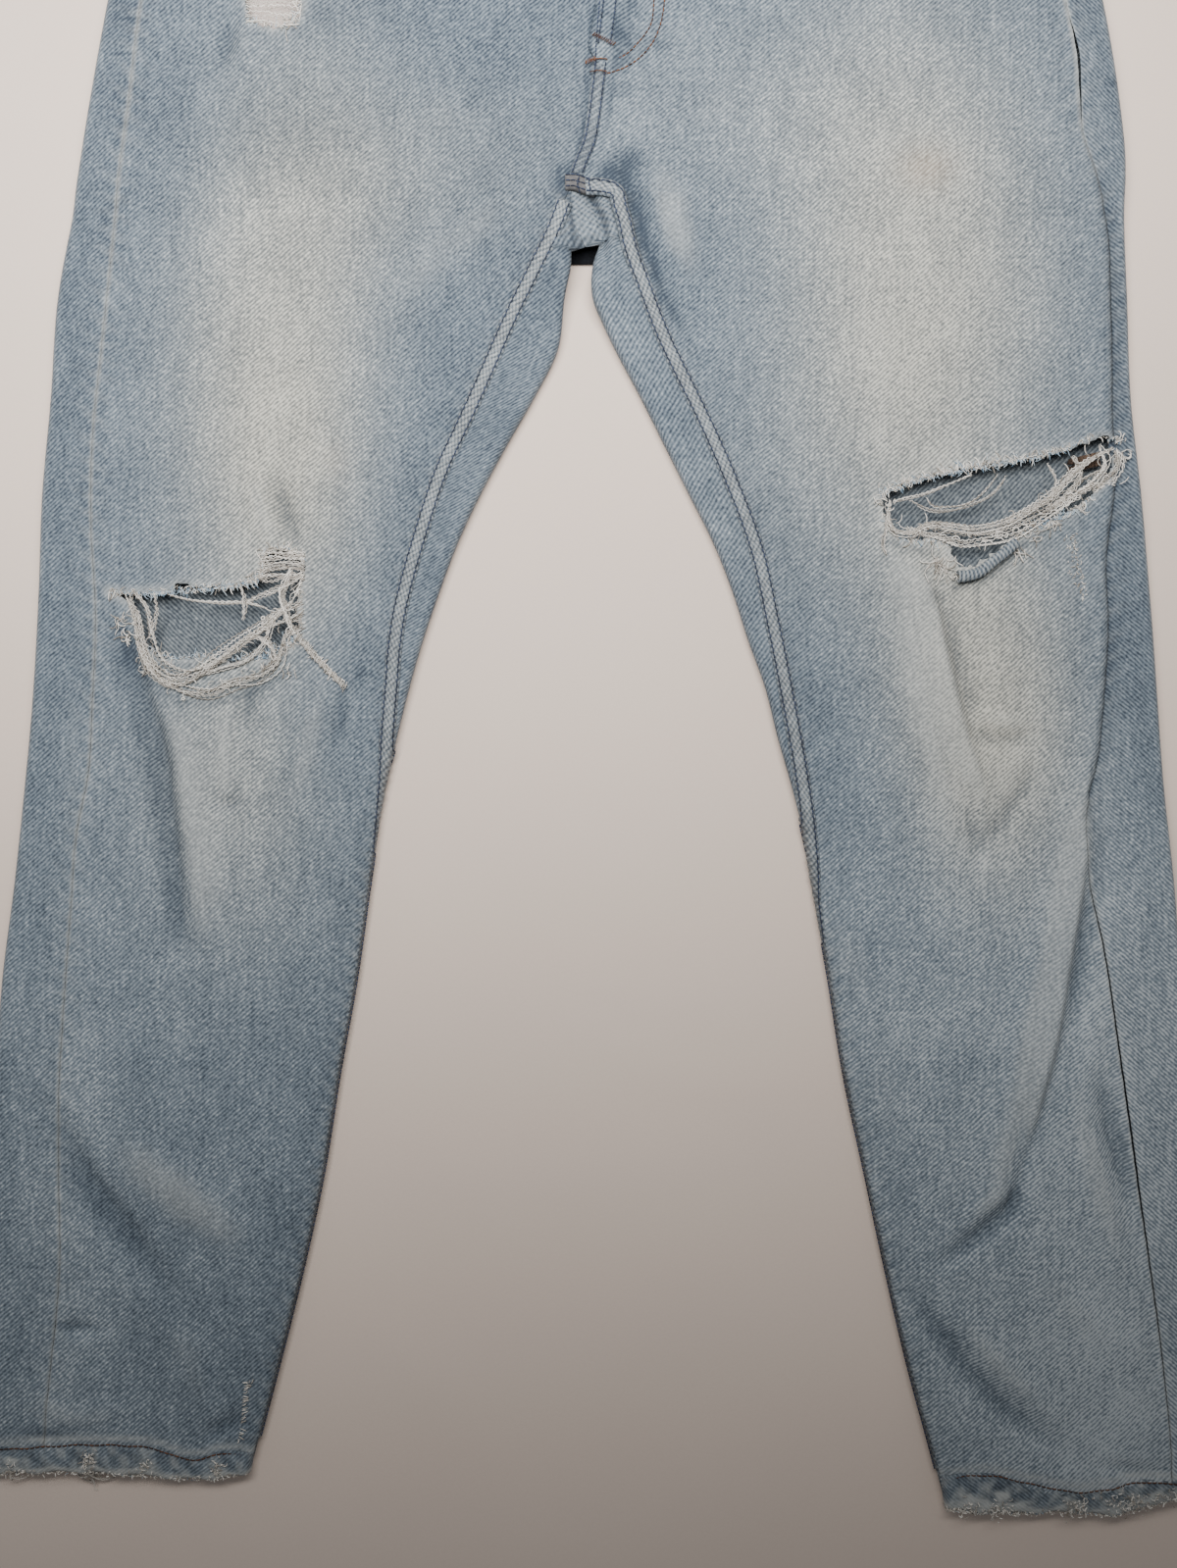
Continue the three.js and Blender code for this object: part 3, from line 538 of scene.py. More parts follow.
def denim(name, deep=0.0, paling_gain=1.0):
    """Worn twill. The points' own fade, paling, darkening and stain numbers set how much indigo is left; the
    paling also holds a painted highlight on crease ridges, and the darkening painted shade in creases and
    folds.
    """
    m, t, bsdf = nodes_of(name)
    uv = put(t, "ShaderNodeUVMap", uv_map="cloth").outputs[0]
    split = put(t, "ShaderNodeSeparateXYZ", {0: uv})
    u, v = split.outputs[0], split.outputs[1]

    def stretched(across, along):
        inputs = {0: times(t, u, across), 1: times(t, v, along)}
        return put(t, "ShaderNodeCombineXYZ", inputs).outputs[0]

    # Twill: pale weft shows between the diagonal lines of blue warp.
    wobble = noise(t, uv, 110.0, 1.0)
    slope = add(t, times(t, u, 0.66), times(t, v, 0.75))
    phase = add(t, times(t, slope, math.tau / TWILL), times(t, wobble, 5.0))
    twill = math_node(t, "SINE", phase)
    grain = noise(t, uv, 500.0, 1.0)
    heather = noise(t, uv, 200.0, 2.0, 0.6)
    slub = noise(t, stretched(420.0, 45.0), 1.0, 3.0, 0.65)
    streak = noise(t, stretched(90.0, 16.0), 1.0, 4.0, 0.6)
    cloud = noise(t, uv, 26.0, 5.0, 0.6)
    level = attribute(t, "fade")
    for part, size in ((streak, 0.22), (cloud, 0.36), (slub, 0.45), (grain, 0.8), (heather, 0.38)):
        level = add(t, level, times(t, math_node(t, "SUBTRACT", part, 0.5), size))
    level = add(t, level, times(t, twill, 0.22))
    # darkening: unfaded indigo, and painted shade in creases and folds
    level = math_node(t, "SUBTRACT", level, times(t, attribute(t, "dark"), 0.45))
    level = math_node(t, "SUBTRACT", level, deep, clamp=True)
    blue, cream = ramp(t, level, BLUES), ramp(t, level, CREAMS)
    colour = blend(t, math_node(t, "MINIMUM", attribute(t, "cream"), 1.0, clamp=True), blue, cream)
    # paling towards grey-white: abrasion, and a painted highlight on crease ridges
    paling = times(t, attribute(t, "worn"), add(t, 0.45, times(t, grain, 1.0)), clamp=True)
    colour = blend(t, times(t, paling, paling_gain, clamp=True), colour, (0.46, 0.47, 0.45))
    # painted shade and unfaded indigo, mixed towards the darkest blue
    colour = blend(t, times(t, attribute(t, "dark"), 0.4, clamp=True), colour, (0.03, 0.043, 0.062))
    colour = blend(t, times(t, attribute(t, "stain"), 0.5, clamp=True), colour, (0.36, 0.26, 0.17))
    tall = add(t, times(t, twill, 0.5), times(t, grain, 1.6))
    tall = add(t, tall, times(t, slub, 0.9))
    bump = put(t, "ShaderNodeBump", {"Height": tall, "Strength": 0.45, "Distance": 0.00028})
    t.links.new(bump.outputs[0], bsdf.inputs["Normal"])
    finish(t, bsdf, colour, Roughness=0.92, Specular_IOR_Level=0.12, Sheen_Weight=0.08, Sheen_Roughness=0.6)
    return m


def yarn(name, pale, deep, scale=900.0):
    m, t, bsdf = nodes_of(name)
    at = put(t, "ShaderNodeTexCoord").outputs["Object"]
    n = noise(t, at, scale, 3.0)
    n2 = noise(t, at, 240.0, 2.0)
    both = add(t, times(t, n, 0.5), times(t, n2, 0.3))
    both = add(t, both, times(t, attribute(t, "tone"), 0.6))
    colour = ramp(t, both, [(0.35, srgb(*deep)), (0.95, srgb(*pale))])
    finish(t, bsdf, colour, Roughness=0.9, Specular_IOR_Level=0.1, Sheen_Weight=0.1)
    return m


def metal(name, colour, rough):
    m, t, bsdf = nodes_of(name)
    at = put(t, "ShaderNodeTexCoord").outputs["Object"]
    n = noise(t, at, 420.0, 4.0)
    dull = tuple(c * 0.45 for c in colour)
    finish(t, bsdf, ramp(t, n, [(0.35, dull), (0.65, colour)]), Metallic=0.9, Roughness=rough)
    return m


M_FRONT = denim("denim_front")
M_BACK = denim("denim_back_blue", deep=0.02)
M_SEAM = denim("denim_felled", paling_gain=1.15)
M_THREAD = yarn("weft_yarn", (246, 240, 230), (132, 122, 110), scale=700.0)
M_FUZZ = yarn("blue_fuzz", (206, 216, 220), (112, 142, 166))
M_STITCH = yarn("navy_stitching", (62, 72, 96), (28, 34, 50))
M_RUST = yarn("rust_stitching", (118, 76, 50), (54, 36, 28))
M_OVERLOCK = yarn("overlock_brown", (104, 84, 70), (26, 20, 18))
M_COTTON = yarn("pocket_cotton", (226, 214, 206), (208, 194, 186), scale=500.0)
# near-black: painted shade under the crotch
M_CROTCH_SHADE = yarn("shaded_inside", (40, 42, 50), (16, 17, 20))
M_BRASS = metal("zip_brass", srgb(188, 156, 96), 0.42)
M_BUTTON = metal("button_copper", srgb(150, 112, 84), 0.38)

# ------------------------------------------------------------------ making cloth


def finish_object(name, mesh, material):
    mesh.materials.clear()
    mesh.materials.append(material)
    ob = bpy.data.objects.new(name, mesh)
    bpy.context.scene.collection.objects.link(ob)
    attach(ob, "root")
    return ob


def cloth(name, node, points, uv, material, up, thick=CLOTH, numbers=None, holes=(), closed=False):
    """A sheet of quads through rows x columns of points. up is the sign of its normal's Z in the
    middle of the first row, holes are tears cut through it, and numbers are its points' numbers."""
    rows, cols = points.shape[:2]
    bm = bmesh.new()
    bmesh.ops.create_grid(bm, x_segments=cols - 1, y_segments=rows - 1, size=0.5)
    flat = points.reshape(-1, 3).copy()
    at = bm.verts.layers.int.new("at")
    index = {}
    for vert in bm.verts:
        j = round((vert.co.x + 0.5) * (cols - 1))
        i = round((vert.co.y + 0.5) * (rows - 1))
        vert[at] = i * cols + j
        index[vert] = (i, j)
    px, py = points[..., 0], points[..., 1]
    if holes:
        mx = (px[:-1, :-1] + px[1:, :-1] + px[:-1, 1:] + px[1:, 1:]) / 4
        my = (py[:-1, :-1] + py[1:, :-1] + py[:-1, 1:] + py[1:, 1:]) / 4
        gone = np.zeros(mx.shape, bool)
        for outline in holes:
            gone |= inside(mx, my, outline)
        wide = np.zeros((rows, cols), bool)
        whole = np.ones((rows, cols), bool)
        for a in (0, 1):
            for b in (0, 1):
                wide[a : rows - 1 + a, b : cols - 1 + b] |= gone
                whole[a : rows - 1 + a, b : cols - 1 + b] &= gone
        edge = wide & ~whole
        for i, j in zip(*np.nonzero(edge)):
            p = np.array([px[i, j], py[i, j]])
            best = min(((np.hypot(*(o - p).T).min(), k) for k, o in enumerate(holes)), key=lambda b: b[0])
            o = holes[best[1]]
            q = o[np.hypot(*(o - p).T).argmin()]
            if best[0] < 2.4:
                flat[i * cols + j, :2] = q
        dead = [f for f in bm.faces if gone[tuple(np.min([index[v] for v in f.verts], axis=0))]]
        bmesh.ops.delete(bm, geom=dead, context="FACES")
    for vert in bm.verts:
        vert.co = Vector(flat[vert[at]] * MM)
    if closed:
        bmesh.ops.remove_doubles(bm, verts=bm.verts[:], dist=2e-5)
    bm.normal_update()
    mid = cols // 2
    a, b, c = points[0, mid], points[0, mid + 1], points[1, mid]
    # The grid's faces turn with columns across rows.
    turn = np.cross(b - a, c - a)[2]
    if turn * up < 0:
        bmesh.ops.reverse_faces(bm, faces=bm.faces[:])
    mesh = bpy.data.meshes.new(name)
    bm.to_mesh(mesh)
    bm.free()
    ids = np.zeros(len(mesh.vertices), np.int32)
    mesh.attributes["at"].data.foreach_get("value", ids)
    mesh.attributes.remove(mesh.attributes["at"])
    layer = mesh.uv_layers.new(name="cloth")
    corner = np.zeros(len(mesh.loops), np.int32)
    mesh.loops.foreach_get("vertex_index", corner)
    flat_uv = uv.reshape(-1, 2) * MM
    layer.data.foreach_set("uv", flat_uv[ids[corner]].astype(np.float32).ravel())
    for key in ("fade", "cream", "worn", "dark", "stain"):
        values = np.broadcast_to((numbers or {}).get(key, 0.42 if key == "fade" else 0.0), (rows, cols))
        made = mesh.attributes.new(key, "FLOAT", "POINT")
        made.data.foreach_set("value", values.reshape(-1)[ids].astype(np.float32))
    for poly in mesh.polygons:
        poly.use_smooth = True
    ob = finish_object(name, mesh, material)
    solid = ob.modifiers.new("thickness", "SOLIDIFY")
    solid.thickness = thick * MM
    solid.offset = -1
    solid.use_even_offset = False
    if node:
        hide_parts(*([node] if isinstance(node, str) else node))
    return ob


def spans(points):
    """(greatest width, greatest length, area) of the sheet in metres, as cut flat."""
    across = np.linalg.norm(np.diff(points, axis=1), axis=2).sum(1).max()
    along = np.linalg.norm(np.diff(points, axis=0), axis=2).sum(0).max()
    a = points[1:, :-1] - points[:-1, :-1]
    b = points[:-1, 1:] - points[:-1, :-1]
    c = points[1:, 1:] - points[1:, :-1]
    d = points[1:, 1:] - points[:-1, 1:]
    area = (np.linalg.norm(np.cross(a, b), axis=2) + np.linalg.norm(np.cross(c, d), axis=2)).sum() / 2
    return across * MM, along * MM, area * MM * MM


LEAST_FILL = 0.31  # a cut piece fills at least this much of its own length by width


def declare(ob, points, pieces=(), lost=0.0):
    """Works out the area cut for a sheet, but keeps it nowhere. lost is the area of its tears, in square
    metres.
    """
    w, h, area = spans(points)
    area = max(min(area - lost, w * h), LEAST_FILL * w * h) * 0.999


def tubes(name, paths, radius, material, sides=4, taper=True):
    """Many yarns as one mesh: each path is an n x 3 line, radius one number or one for each path."""
    verts, faces, first, shades = [], [], 0, []
    tones = np.random.default_rng(len(paths)).uniform(0, 1, len(paths))
    for k, path in enumerate(paths):
        r0 = radius[k] if hasattr(radius, "__len__") else radius
        n = len(path)
        way = np.gradient(path, axis=0)
        way /= np.linalg.norm(way, axis=1)[:, None] + 1e-9
        up = np.tile([0.0, 0.0, 1.0], (n, 1))
        up[np.abs(way[:, 2]) > 0.9] = [0, 1, 0]
        a = np.cross(way, up)
        a /= np.linalg.norm(a, axis=1)[:, None] + 1e-9
        b = np.cross(way, a)
        size = np.full(n, r0)
        if taper:
            size[0], size[-1] = r0 * 0.5, r0 * 0.35
        for s in range(sides):
            turn = math.tau * s / sides
            ring = path + (a * math.cos(turn) + b * math.sin(turn)) * size[:, None]
            verts.append(ring)
        # a yarn's points are kept side by side: side * n + step
        for s in range(sides):
            nxt = (s + 1) % sides
            i = np.arange(n - 1)
            here, there = first + s * n + i, first + nxt * n + i
            faces.append(np.stack([here, here + 1, there + 1, there], 1))
        faces.append([[first + s * n for s in range(sides)]])
        faces.append([[first + s * n + n - 1 for s in reversed(range(sides))]])
        first += sides * n
        shades.append(np.full(sides * n, tones[k]))
    points = np.concatenate(verts) * MM
    quads = [q for f in faces for q in (f.tolist() if hasattr(f, "tolist") else f)]
    mesh = bpy.data.meshes.new(name)
    mesh.from_pydata(points.tolist(), [], quads)
    bm = bmesh.new()
    bm.from_mesh(mesh)
    bmesh.ops.recalc_face_normals(bm, faces=bm.faces[:])
    bm.to_mesh(mesh)
    bm.free()
    tone = mesh.attributes.new("tone", "FLOAT", "POINT")
    tone.data.foreach_set("value", np.concatenate(shades).astype(np.float32))
    for poly in mesh.polygons:
        poly.use_smooth = True
    return finish_object(name, mesh, material)


# ------------------------------------------------------------------ how faded and rubbed each point is, with painted shade and highlight

OVALS = [  # centre, radii, turn in degrees, how much paler
    ((-182, 150), (56, 150), -6, 0.34),
    ((-172, 40), (42, 70), 0, 0.14),
    ((-214, -90), (42, 72), 6, 0.14),
    ((-205, -150), (56, 80), 4, 0.08),
    ((-90, 236), (60, 50), 0, 0.12),
    ((184, 185), (74, 140), 6, 0.34),
    ((150, 60), (66, 80), 0, 0.10),
    ((220, -50), (50, 84), 4, 0.33),
    ((232, -130), (42, 60), 0, 0.12),
    ((60, 270), (70, 50), 0, 0.06),
]
MARKS = [  # darker spots, those round the crotch painted shade in its folds: centre, radii, strength
    ((37, 307), (5, 3.5), 0.5), ((15, 311), (6, 6), 0.6), ((12, 299), (3, 6), 0.6),
    ((13, 282), (6, 4), 0.35), ((-316, -487), (14, 2.5), 0.6), ((296, 287), (5, 2.5), 0.55),
    ((-301, -427), (9, 2.2), 0.4), ((18, 239), (9, 7), 0.4), ((8, 232), (6, 7), 0.45),
    ((-269, -38), (4, 9), 0.5), ((-18, 190), (5, 7), 0.5), ((-20, 226), (3.5, 9), 0.7),
    ((-12, 215), (6, 4), 0.7), ((6, 231), (6, 4), 0.5), ((16, 228), (5, 7), 0.5),
    ((22, 240), (4, 10), 0.3), ((27, 208), (3, 14), 0.28), ((34, 184), (3, 14), 0.28),
    ((-25, 176), (3, 6), 0.45), ((33, 160), (4, 8), 0.4), ((-136, -52), (3, 5), 0.35),
    ((193, -8), (4, 6), 0.3), ((172, 36), (5, 8), 0.3),
]
LINES = [  # shade beside folds and seams: path, width, strength
    ([(-17, 226), (-10.5, 240), (-7, 258), (-5.5, 276), (-4.5, 292), (-3, 308), (0, 328)], 1.3, 0.75),
    ([(-4, 232), (2, 244), (6, 261), (9, 285), (10.5, 296)], 1.1, 0.35),
    ([(2, 226), (16, 224), (24, 209), (30, 188), (38, 166), (48, 148)], 2.2, 0.5),
    ([(-15, 222), (-22, 206), (-29, 188), (-42, 162)], 1.2, 0.4),
    ([(38, 455), (38, 332), (33, 313), (22, 300), (8, 294)], 1.3, 0.16),
    ([(20, 330), (15, 322), (11, 313)], 3.0, 0.35),
    ([(-264, -20), (-264, -44), (-252, -62), (-238, -68), (-218, -70), (-196, -62), (-180, -54)], 2.2, 0.3),
    ([(166, 24), (182, 19), (196, 16)], 1.8, 0.25),
    ([(206, -2), (222, 1), (236, 12), (246, 22)], 1.8, 0.45),
]


def spot(x, y, centre, radii):
    """1 at the centre of an oval, falling away round it."""
    return np.exp(-(((x - centre[0]) / radii[0]) ** 2) - ((y - centre[1]) / radii[1]) ** 2)


def dye_and_shade(leg, x, y):
    """The numbers that the cloth's finish reads, for points on the top of the garment: fade and abrasion,
    with painted shade in creases and folds and a painted highlight on crease ridges.
    """
    x, y = np.broadcast_arrays(x, y)
    fade = 0.43 + 0.10 * smooth(-20, -230, y)
    if leg is left:
        fade = fade + 0.09 * smooth(-40, -200, y) + 0.06 * smooth(-120, -260, y)
        fade = fade + 0.09 * smooth(-330, -480, y) - 0.02 * smooth(120, 220, y)
        fade = fade + (0.07 + 0.08 * smooth(-60, -200, y)) * smooth(240, 300, x)
    else:
        fade = fade + (0.09 + 0.05 * smooth(-150, -260, y)) * smooth(-250, -310, x)
        fade = fade - 0.13 * bell(x + 200, 60) * bell(y - 262, 34) - 0.04 * smooth(-30, 60, y)
        fade = fade - 0.08 * smooth(110, 220, y) * smooth(-210, -150, x)
        fade = fade - 0.03 * smooth(-60, -160, y) * smooth(-380, -260, y)
    cream = np.zeros(x.shape)
    for (cx, cy), (rx, ry), turn, gain in OVALS:
        a = math.radians(turn)
        u = ((x - cx) * math.cos(a) + (y - cy) * math.sin(a)) / rx
        v = ((y - cy) * math.cos(a) - (x - cx) * math.sin(a)) / ry
        much = np.exp(-((u * u + v * v) ** 1.25) * 0.8)
        fade = fade + gain * much
        cream = cream + 2.6 * gain * much
    d_out = leg.from_outer(x, y)
    d_in = np.where(y < 225, (seam_x(leg, y) - x) * leg.inward, 60)
    fade = fade - 0.10 * bell(d_out, 42) - 0.07 * bell(d_in, 26)
    bump = relief(x, y)
    # paler on crease ridges, by abrasion and a painted highlight, and along the folded edge, by abrasion
    worn = 0.34 * smooth(0.7, 3.4, bump) + 0.2 * bell(d_out, 2.5)
    d_side = leg.from_side(x, y)
    rope, rope2 = ropes(x, y, d_in, d_side)
    close = np.exp(-np.abs(d_in) / 5)
    beside = np.exp(-np.abs(d_side) / 7)
    worn = worn + 0.35 * close * np.clip(rope, 0, 1) + 0.20 * beside * np.clip(rope2, 0, 1)
    worn = worn + 0.5 * bell(d_side, 0.9) * (1 - LAP(y) * (leg is left))
    dark = 0.30 * close * np.clip(-rope, 0, 1) + 0.13 * beside * np.clip(-rope2, 0, 1)
    # painted shade in the crease troughs
    dark = dark + 0.4 * smooth(-0.5, -3.4, bump)
    for centre, radii, much in MARKS:
        dark = dark + much * spot(x, y, centre, radii)
    for path, wide, much in LINES:
        dark = dark + much * bell(to_path(x, y, path)[0], wide)
    # a pale ridge just above the hem's stitches: abrasion, and a painted highlight where the cloth puffs
    worn = worn + 0.6 * bell(y - HEM_SEAM[leg.name](x) - 3.6, 1.9)
    stain = 0.7 * spot(x, y, (189, 237), (16, 13)) + 0.2 * spot(x, y, (-150, 70), (8, 10))
    return {"fade": fade, "cream": cream, "worn": worn, "dark": dark, "stain": stain}


# ------------------------------------------------------------------ leg fronts


def waist_curve(x, rise):
    return WAIST + rise * (1 - np.minimum(np.abs(x) / HALF_WAIST, 1) ** 2)


def front_waist(x):
    return waist_curve(x, -14)


def back_waist(x):
    return waist_curve(x, 22)


def scoop(y):
    """How far the front pocket's mouth is cut in from the side seam."""
    up = np.clip(1 - (WAIST - y) / 87, 0, 1)
    return 84 * np.sqrt(1 - (1 - up) ** 2)


def front_points(leg, cols=112):
    """A front from its inseam or the front rise to its side seam, with the pocket's mouth cut in."""
    y = np.linspace(WAIST, leg.hem - HEM_HIDDEN, int((WAIST - leg.hem) / STEP))[:, None]
    y = np.broadcast_to(y, (len(y), cols)).copy()
    t = np.linspace(0, 1, cols)[None, :]
    edge = seam_x(leg, y)
    start = np.where(y < CROSS, edge, CENTRE(y) - leg.inward * 0.2)
    if leg is left:
        start = start - 7 * smooth(292, 306, y)
    end = leg.side(y) + leg.inward * (0.25 + scoop(y))
    inner = np.where(y < LIP, leg.inner(y), start)
    c0 = np.where(y < LIP, cloth_of((inner - start) * leg.inward), 0)
    span = (inner - end) * leg.inward
    c1 = np.where(y < LIP, cloth_of(span), span)
    c = mix(c0, c1, t)
    x = inner - leg.inward * np.where(y < LIP, offset(c), c)
    z = top(leg, x, y)
    d = (x - end) * leg.inward
    if leg is left:
        lap = LAP(y) * (1 - smooth(300, 330, y))
        z = z + lap * (2.2 * bell(d - 3, 9) - 3.1 * (1 - smooth(0, 4.5, d)))
        z = z + 2.3 * smooth(290, 302, y) * smooth(16, 4, x - CENTRE(y))
    plain = 1 - (LAP(y) if leg is left else 0)
    z = z + plain * 0.45 * bell(d - 1.0, 1.3)
    y = y + smooth(380, WAIST, y) * (front_waist(x) - WAIST)
    uv = np.stack([-x, y], -1)
    return np.stack([x, y, z], -1), uv


FRONTS, FRONT_POINTS = {}, {}
for leg in LEGS:
    P, uv = front_points(leg)
    FRONT_POINTS[leg.name] = P
    holes = [RAGGED[0], RAGGED[2]] if leg is right else [RAGGED[1]]
    numbers = dye_and_shade(leg, P[..., 0], P[..., 1])
    numbers["worn"] = numbers["worn"] + 0.55 * near_hole(P[..., 0], P[..., 1]) ** 3
    FRONTS[leg.name] = cloth(
        f"front_{leg.name}_cloth", f"front_{leg.name}", P, uv, M_FRONT, 1, numbers=numbers,
        holes=holes
    )

# ------------------------------------------------------------------ leg backs


def back_points(leg):
    """A back from its side seam, round under the leg, to the inseam or the seat seam. It gives the
    points, their flat places and the height y that each row had before its top was slanted."""
    y = np.linspace(BACK_TOP, leg.hem - HEM_HIDDEN, int((WAIST - leg.hem) / 3.4))[:, None]
    # On the left its start is tucked under the front where the front laps over it.
    tucked = LAP(y) * (1 - smooth(300, 330, y)) if leg is left else 0 * y
    side = np.maximum((leg.side(y) - leg.outer(y)) * leg.inward - 0.25 + 3.2 * tucked, 1)
    c_side = cloth_of(side)
    line_in = np.where(y < LIP, leg.inner(y), CENTRE(y) - leg.inward * 0.15)
    parts = []
    # the strip on top, from the side seam to the edge
    t = np.linspace(0, 1, 20)[None, :]
    c = mix(c_side, QUARTER, t)
    x = leg.at_outer(y, c)
    z = top(leg, x, y)
    d = (leg.side(y) - x) * leg.inward
    z = z - (1 - tucked) * 0.5 * bell(d, 1.6) - tucked * 2.6 * np.exp(-np.maximum(d, 0) / 8)
    parts.append((x, y + 0 * x, z, c))
    # round the outer edge
    for c in (np.linspace(QUARTER, 0, 8)[None, 1:], -np.linspace(0, QUARTER, 8)[None, 1:]):
        c = c + 0 * y
        x = leg.at_outer(y, c)
        rise = tube(offset(c))
        up = base(x, y) + R + rise + rise / R * relief(x, y)
        down = base(x, y) + R - rise
        parts.append((x, y + 0 * x, np.where(c >= 0, up, down), c))
    # across the table
    t = np.linspace(0, 1, 26)[None, 1:]
    x0 = leg.outer(y) + leg.inward * R
    x1 = np.where(y < LIP, line_in - leg.inward * R, line_in)
    x = mix(x0, x1, t)
    parts.append((x, y + 0 * x, base(x, y) + 0 * x, -(QUARTER + np.abs(x - x0))))
    whole = QUARTER + np.abs(x1 - x0)
    # and up the inner edge, where there is one
    c = np.linspace(QUARTER, 0, 8)[None, 1:] + 0 * y
    x = np.where(y < LIP, line_in - leg.inward * offset(c), line_in - leg.inward * 0.004 * c)
    z = np.where(y < LIP, base(x, y) + R - tube(offset(c)), base(x, y))
    parts.append((x, y + 0 * x, z, -(whole + QUARTER - c)))
    X, Y, Z, C = (np.concatenate([p[k] + 0 * p[0] for p in parts], axis=1) for k in range(4))
    # its top edge slants along the yoke
    slanted = Y + smooth(330, BACK_TOP, Y) * (yoke_line(X) - 0.6 - BACK_TOP)
    uv = np.stack([-(C + leg.inward * leg.outer(Y)), slanted], -1)
    Z = Z + 0.8 * smooth(leg.hem + 1, leg.hem - 3, Y) * (Z < 3)
    return np.stack([X, slanted, Z], -1), uv, Y


def yoke_line(x):
    """The seam between the yokes and the backs."""
    return back_waist(x) - mix(84, 34, np.minimum(np.abs(x - 8) / HALF_WAIST, 1))


def inner_strip_points(leg):
    """The back panel's own strip on top, between the inner edge or the seat seam and the inseam."""
    above, below = np.linspace(CROSS - 1, LIP + 0.2, 22), np.linspace(LIP - 0.2, leg.hem + 0.3, 300)
    y = np.concatenate([above, below])[:, None]
    t = np.linspace(-0.06, 1, 18)[None, :]
    seam = seam_x(leg, y)
    low = y < LIP
    inner = np.where(low, leg.inner(y), CENTRE(y) - leg.inward * 0.1)
    far = np.maximum((inner - seam) * leg.inward - 0.25, 0.3)
    c1 = np.where(low, cloth_of(far), far)
    c = np.where(low, c1 * t, c1 * np.clip(t, 0, 1))
    x = inner - leg.inward * np.where(low, np.sign(c) * offset(c) * (c > 0), c)
    z = top(leg, x, y + 0 * x)
    z = np.where((c < 0) & low, base(x, y) + R - tube(offset(c)), z)
    # the fork dips towards the seat seam and turns under at the lip
    fork = smooth(LIP - 22, LIP + 4, y) * smooth(CROSS + 2, CROSS - 12, y)
    in_fold = bell(to_path(x, y + 0 * x, [(-2, 216), (5, 199), (4, 186)])[0], 2.4)
    on_roll = bell(to_path(x, y + 0 * x, [(1, 215), (8, 202), (10, 184)])[0], 3.2)
    z = z + fork * (1.7 * on_roll - 3.8 * bell(x + 6, 8) - 4.6 * in_fold)
    z = z - 5.0 * (1 - smooth(LIP, LIP + 5, y)) * bell(x + 6, 9) * (y >= LIP)
    Y = y - 5 * smooth(3, -14, x) * smooth(LIP - 26, LIP, y) * smooth(LIP + 16, LIP, y)
    return np.stack([x, Y, z], -1), np.stack([leg.inward * (c + 400), Y], -1)


FORK_FOLD_SHADE = [  # path and width of the painted shade along the folds at the fork
    ([(-16, 222), (-14, 206), (-13, 192)], 1.3),
    ([(-3, 218), (4, 206), (6, 196), (3, 184)], 1.5),
    ([(10, 214), (16, 204), (20, 192), (27, 172)], 1.6),
]
BACKS, BACK_POINTS, STRIPS = {}, {}, {}
for leg in LEGS:
    P, uv, Y = back_points(leg)
    BACK_POINTS[leg.name] = P
    # what lies under or faces the table is only the cloth's plain colour
    upper = smooth(1.0, 3.0, P[..., 2] - base(P[..., 0], P[..., 1]) - R)
    numbers = dye_and_shade(leg, P[..., 0], P[..., 1])
    for key in numbers:
        numbers[key] = numbers[key] * upper + {"fade": 0.36, "cream": 0.45}.get(key, 0) * (1 - upper)
    numbers["fade"] = numbers["fade"] - 0.02
    # on the left, painted shadow of the lapping front on the back's strip beside the side seam
    if leg is left:
        beside = np.exp(-np.maximum(P[..., 0] - leg.side(Y), 0) / 3.5)
        numbers["dark"] = numbers["dark"] + 0.5 * LAP(Y) * upper * beside
    BACKS[leg.name] = cloth(
        f"back_{leg.name}_cloth", f"back_{leg.name}", P, uv, M_BACK, -1, numbers=numbers
    )
    P, uv = inner_strip_points(leg)
    numbers = dye_and_shade(leg, P[..., 0], P[..., 1])
    numbers["fade"] = numbers["fade"] + 0.04
    fork_pale = smooth(LIP - 8, LIP + 6, P[..., 1])
    ribbed = 0.10 + 0.16 * np.sin(P[..., 1] * 1.9 + P[..., 0])
    numbers["worn"] = mix(0.35 * numbers["worn"], ribbed, fork_pale)
    # painted shade along the fork's folds
    shade = sum(bell(to_path(P[..., 0], P[..., 1], path)[0], wide) for path, wide in FORK_FOLD_SHADE)
    numbers["dark"] = mix(0.4 * numbers["dark"], 0.75 * np.minimum(shade, 1), fork_pale)
    STRIPS[leg.name] = cloth(
        f"back_{leg.name}_inner_edge", None, P, uv, M_BACK, 1, numbers=numbers, thick=0.9
    )

# the lower layer of the seat's fold, coloured near-black as painted shade under the crotch
x = np.linspace(-17, 6, 12)[None, :]
y = np.linspace(214, 186.5, 14)[:, None]
P = np.stack([x + 0 * y, y + 0 * x, 1.6 + 0.05 * (y - 183) + 0 * x], -1)
seat_fold = cloth(
    "back_seat_fold", None, P, P[..., :2], M_CROTCH_SHADE, 1,
    numbers={"fade": 0.05, "dark": 1.0}, thick=0.9
)


# ------------------------------------------------------------------ felled seams


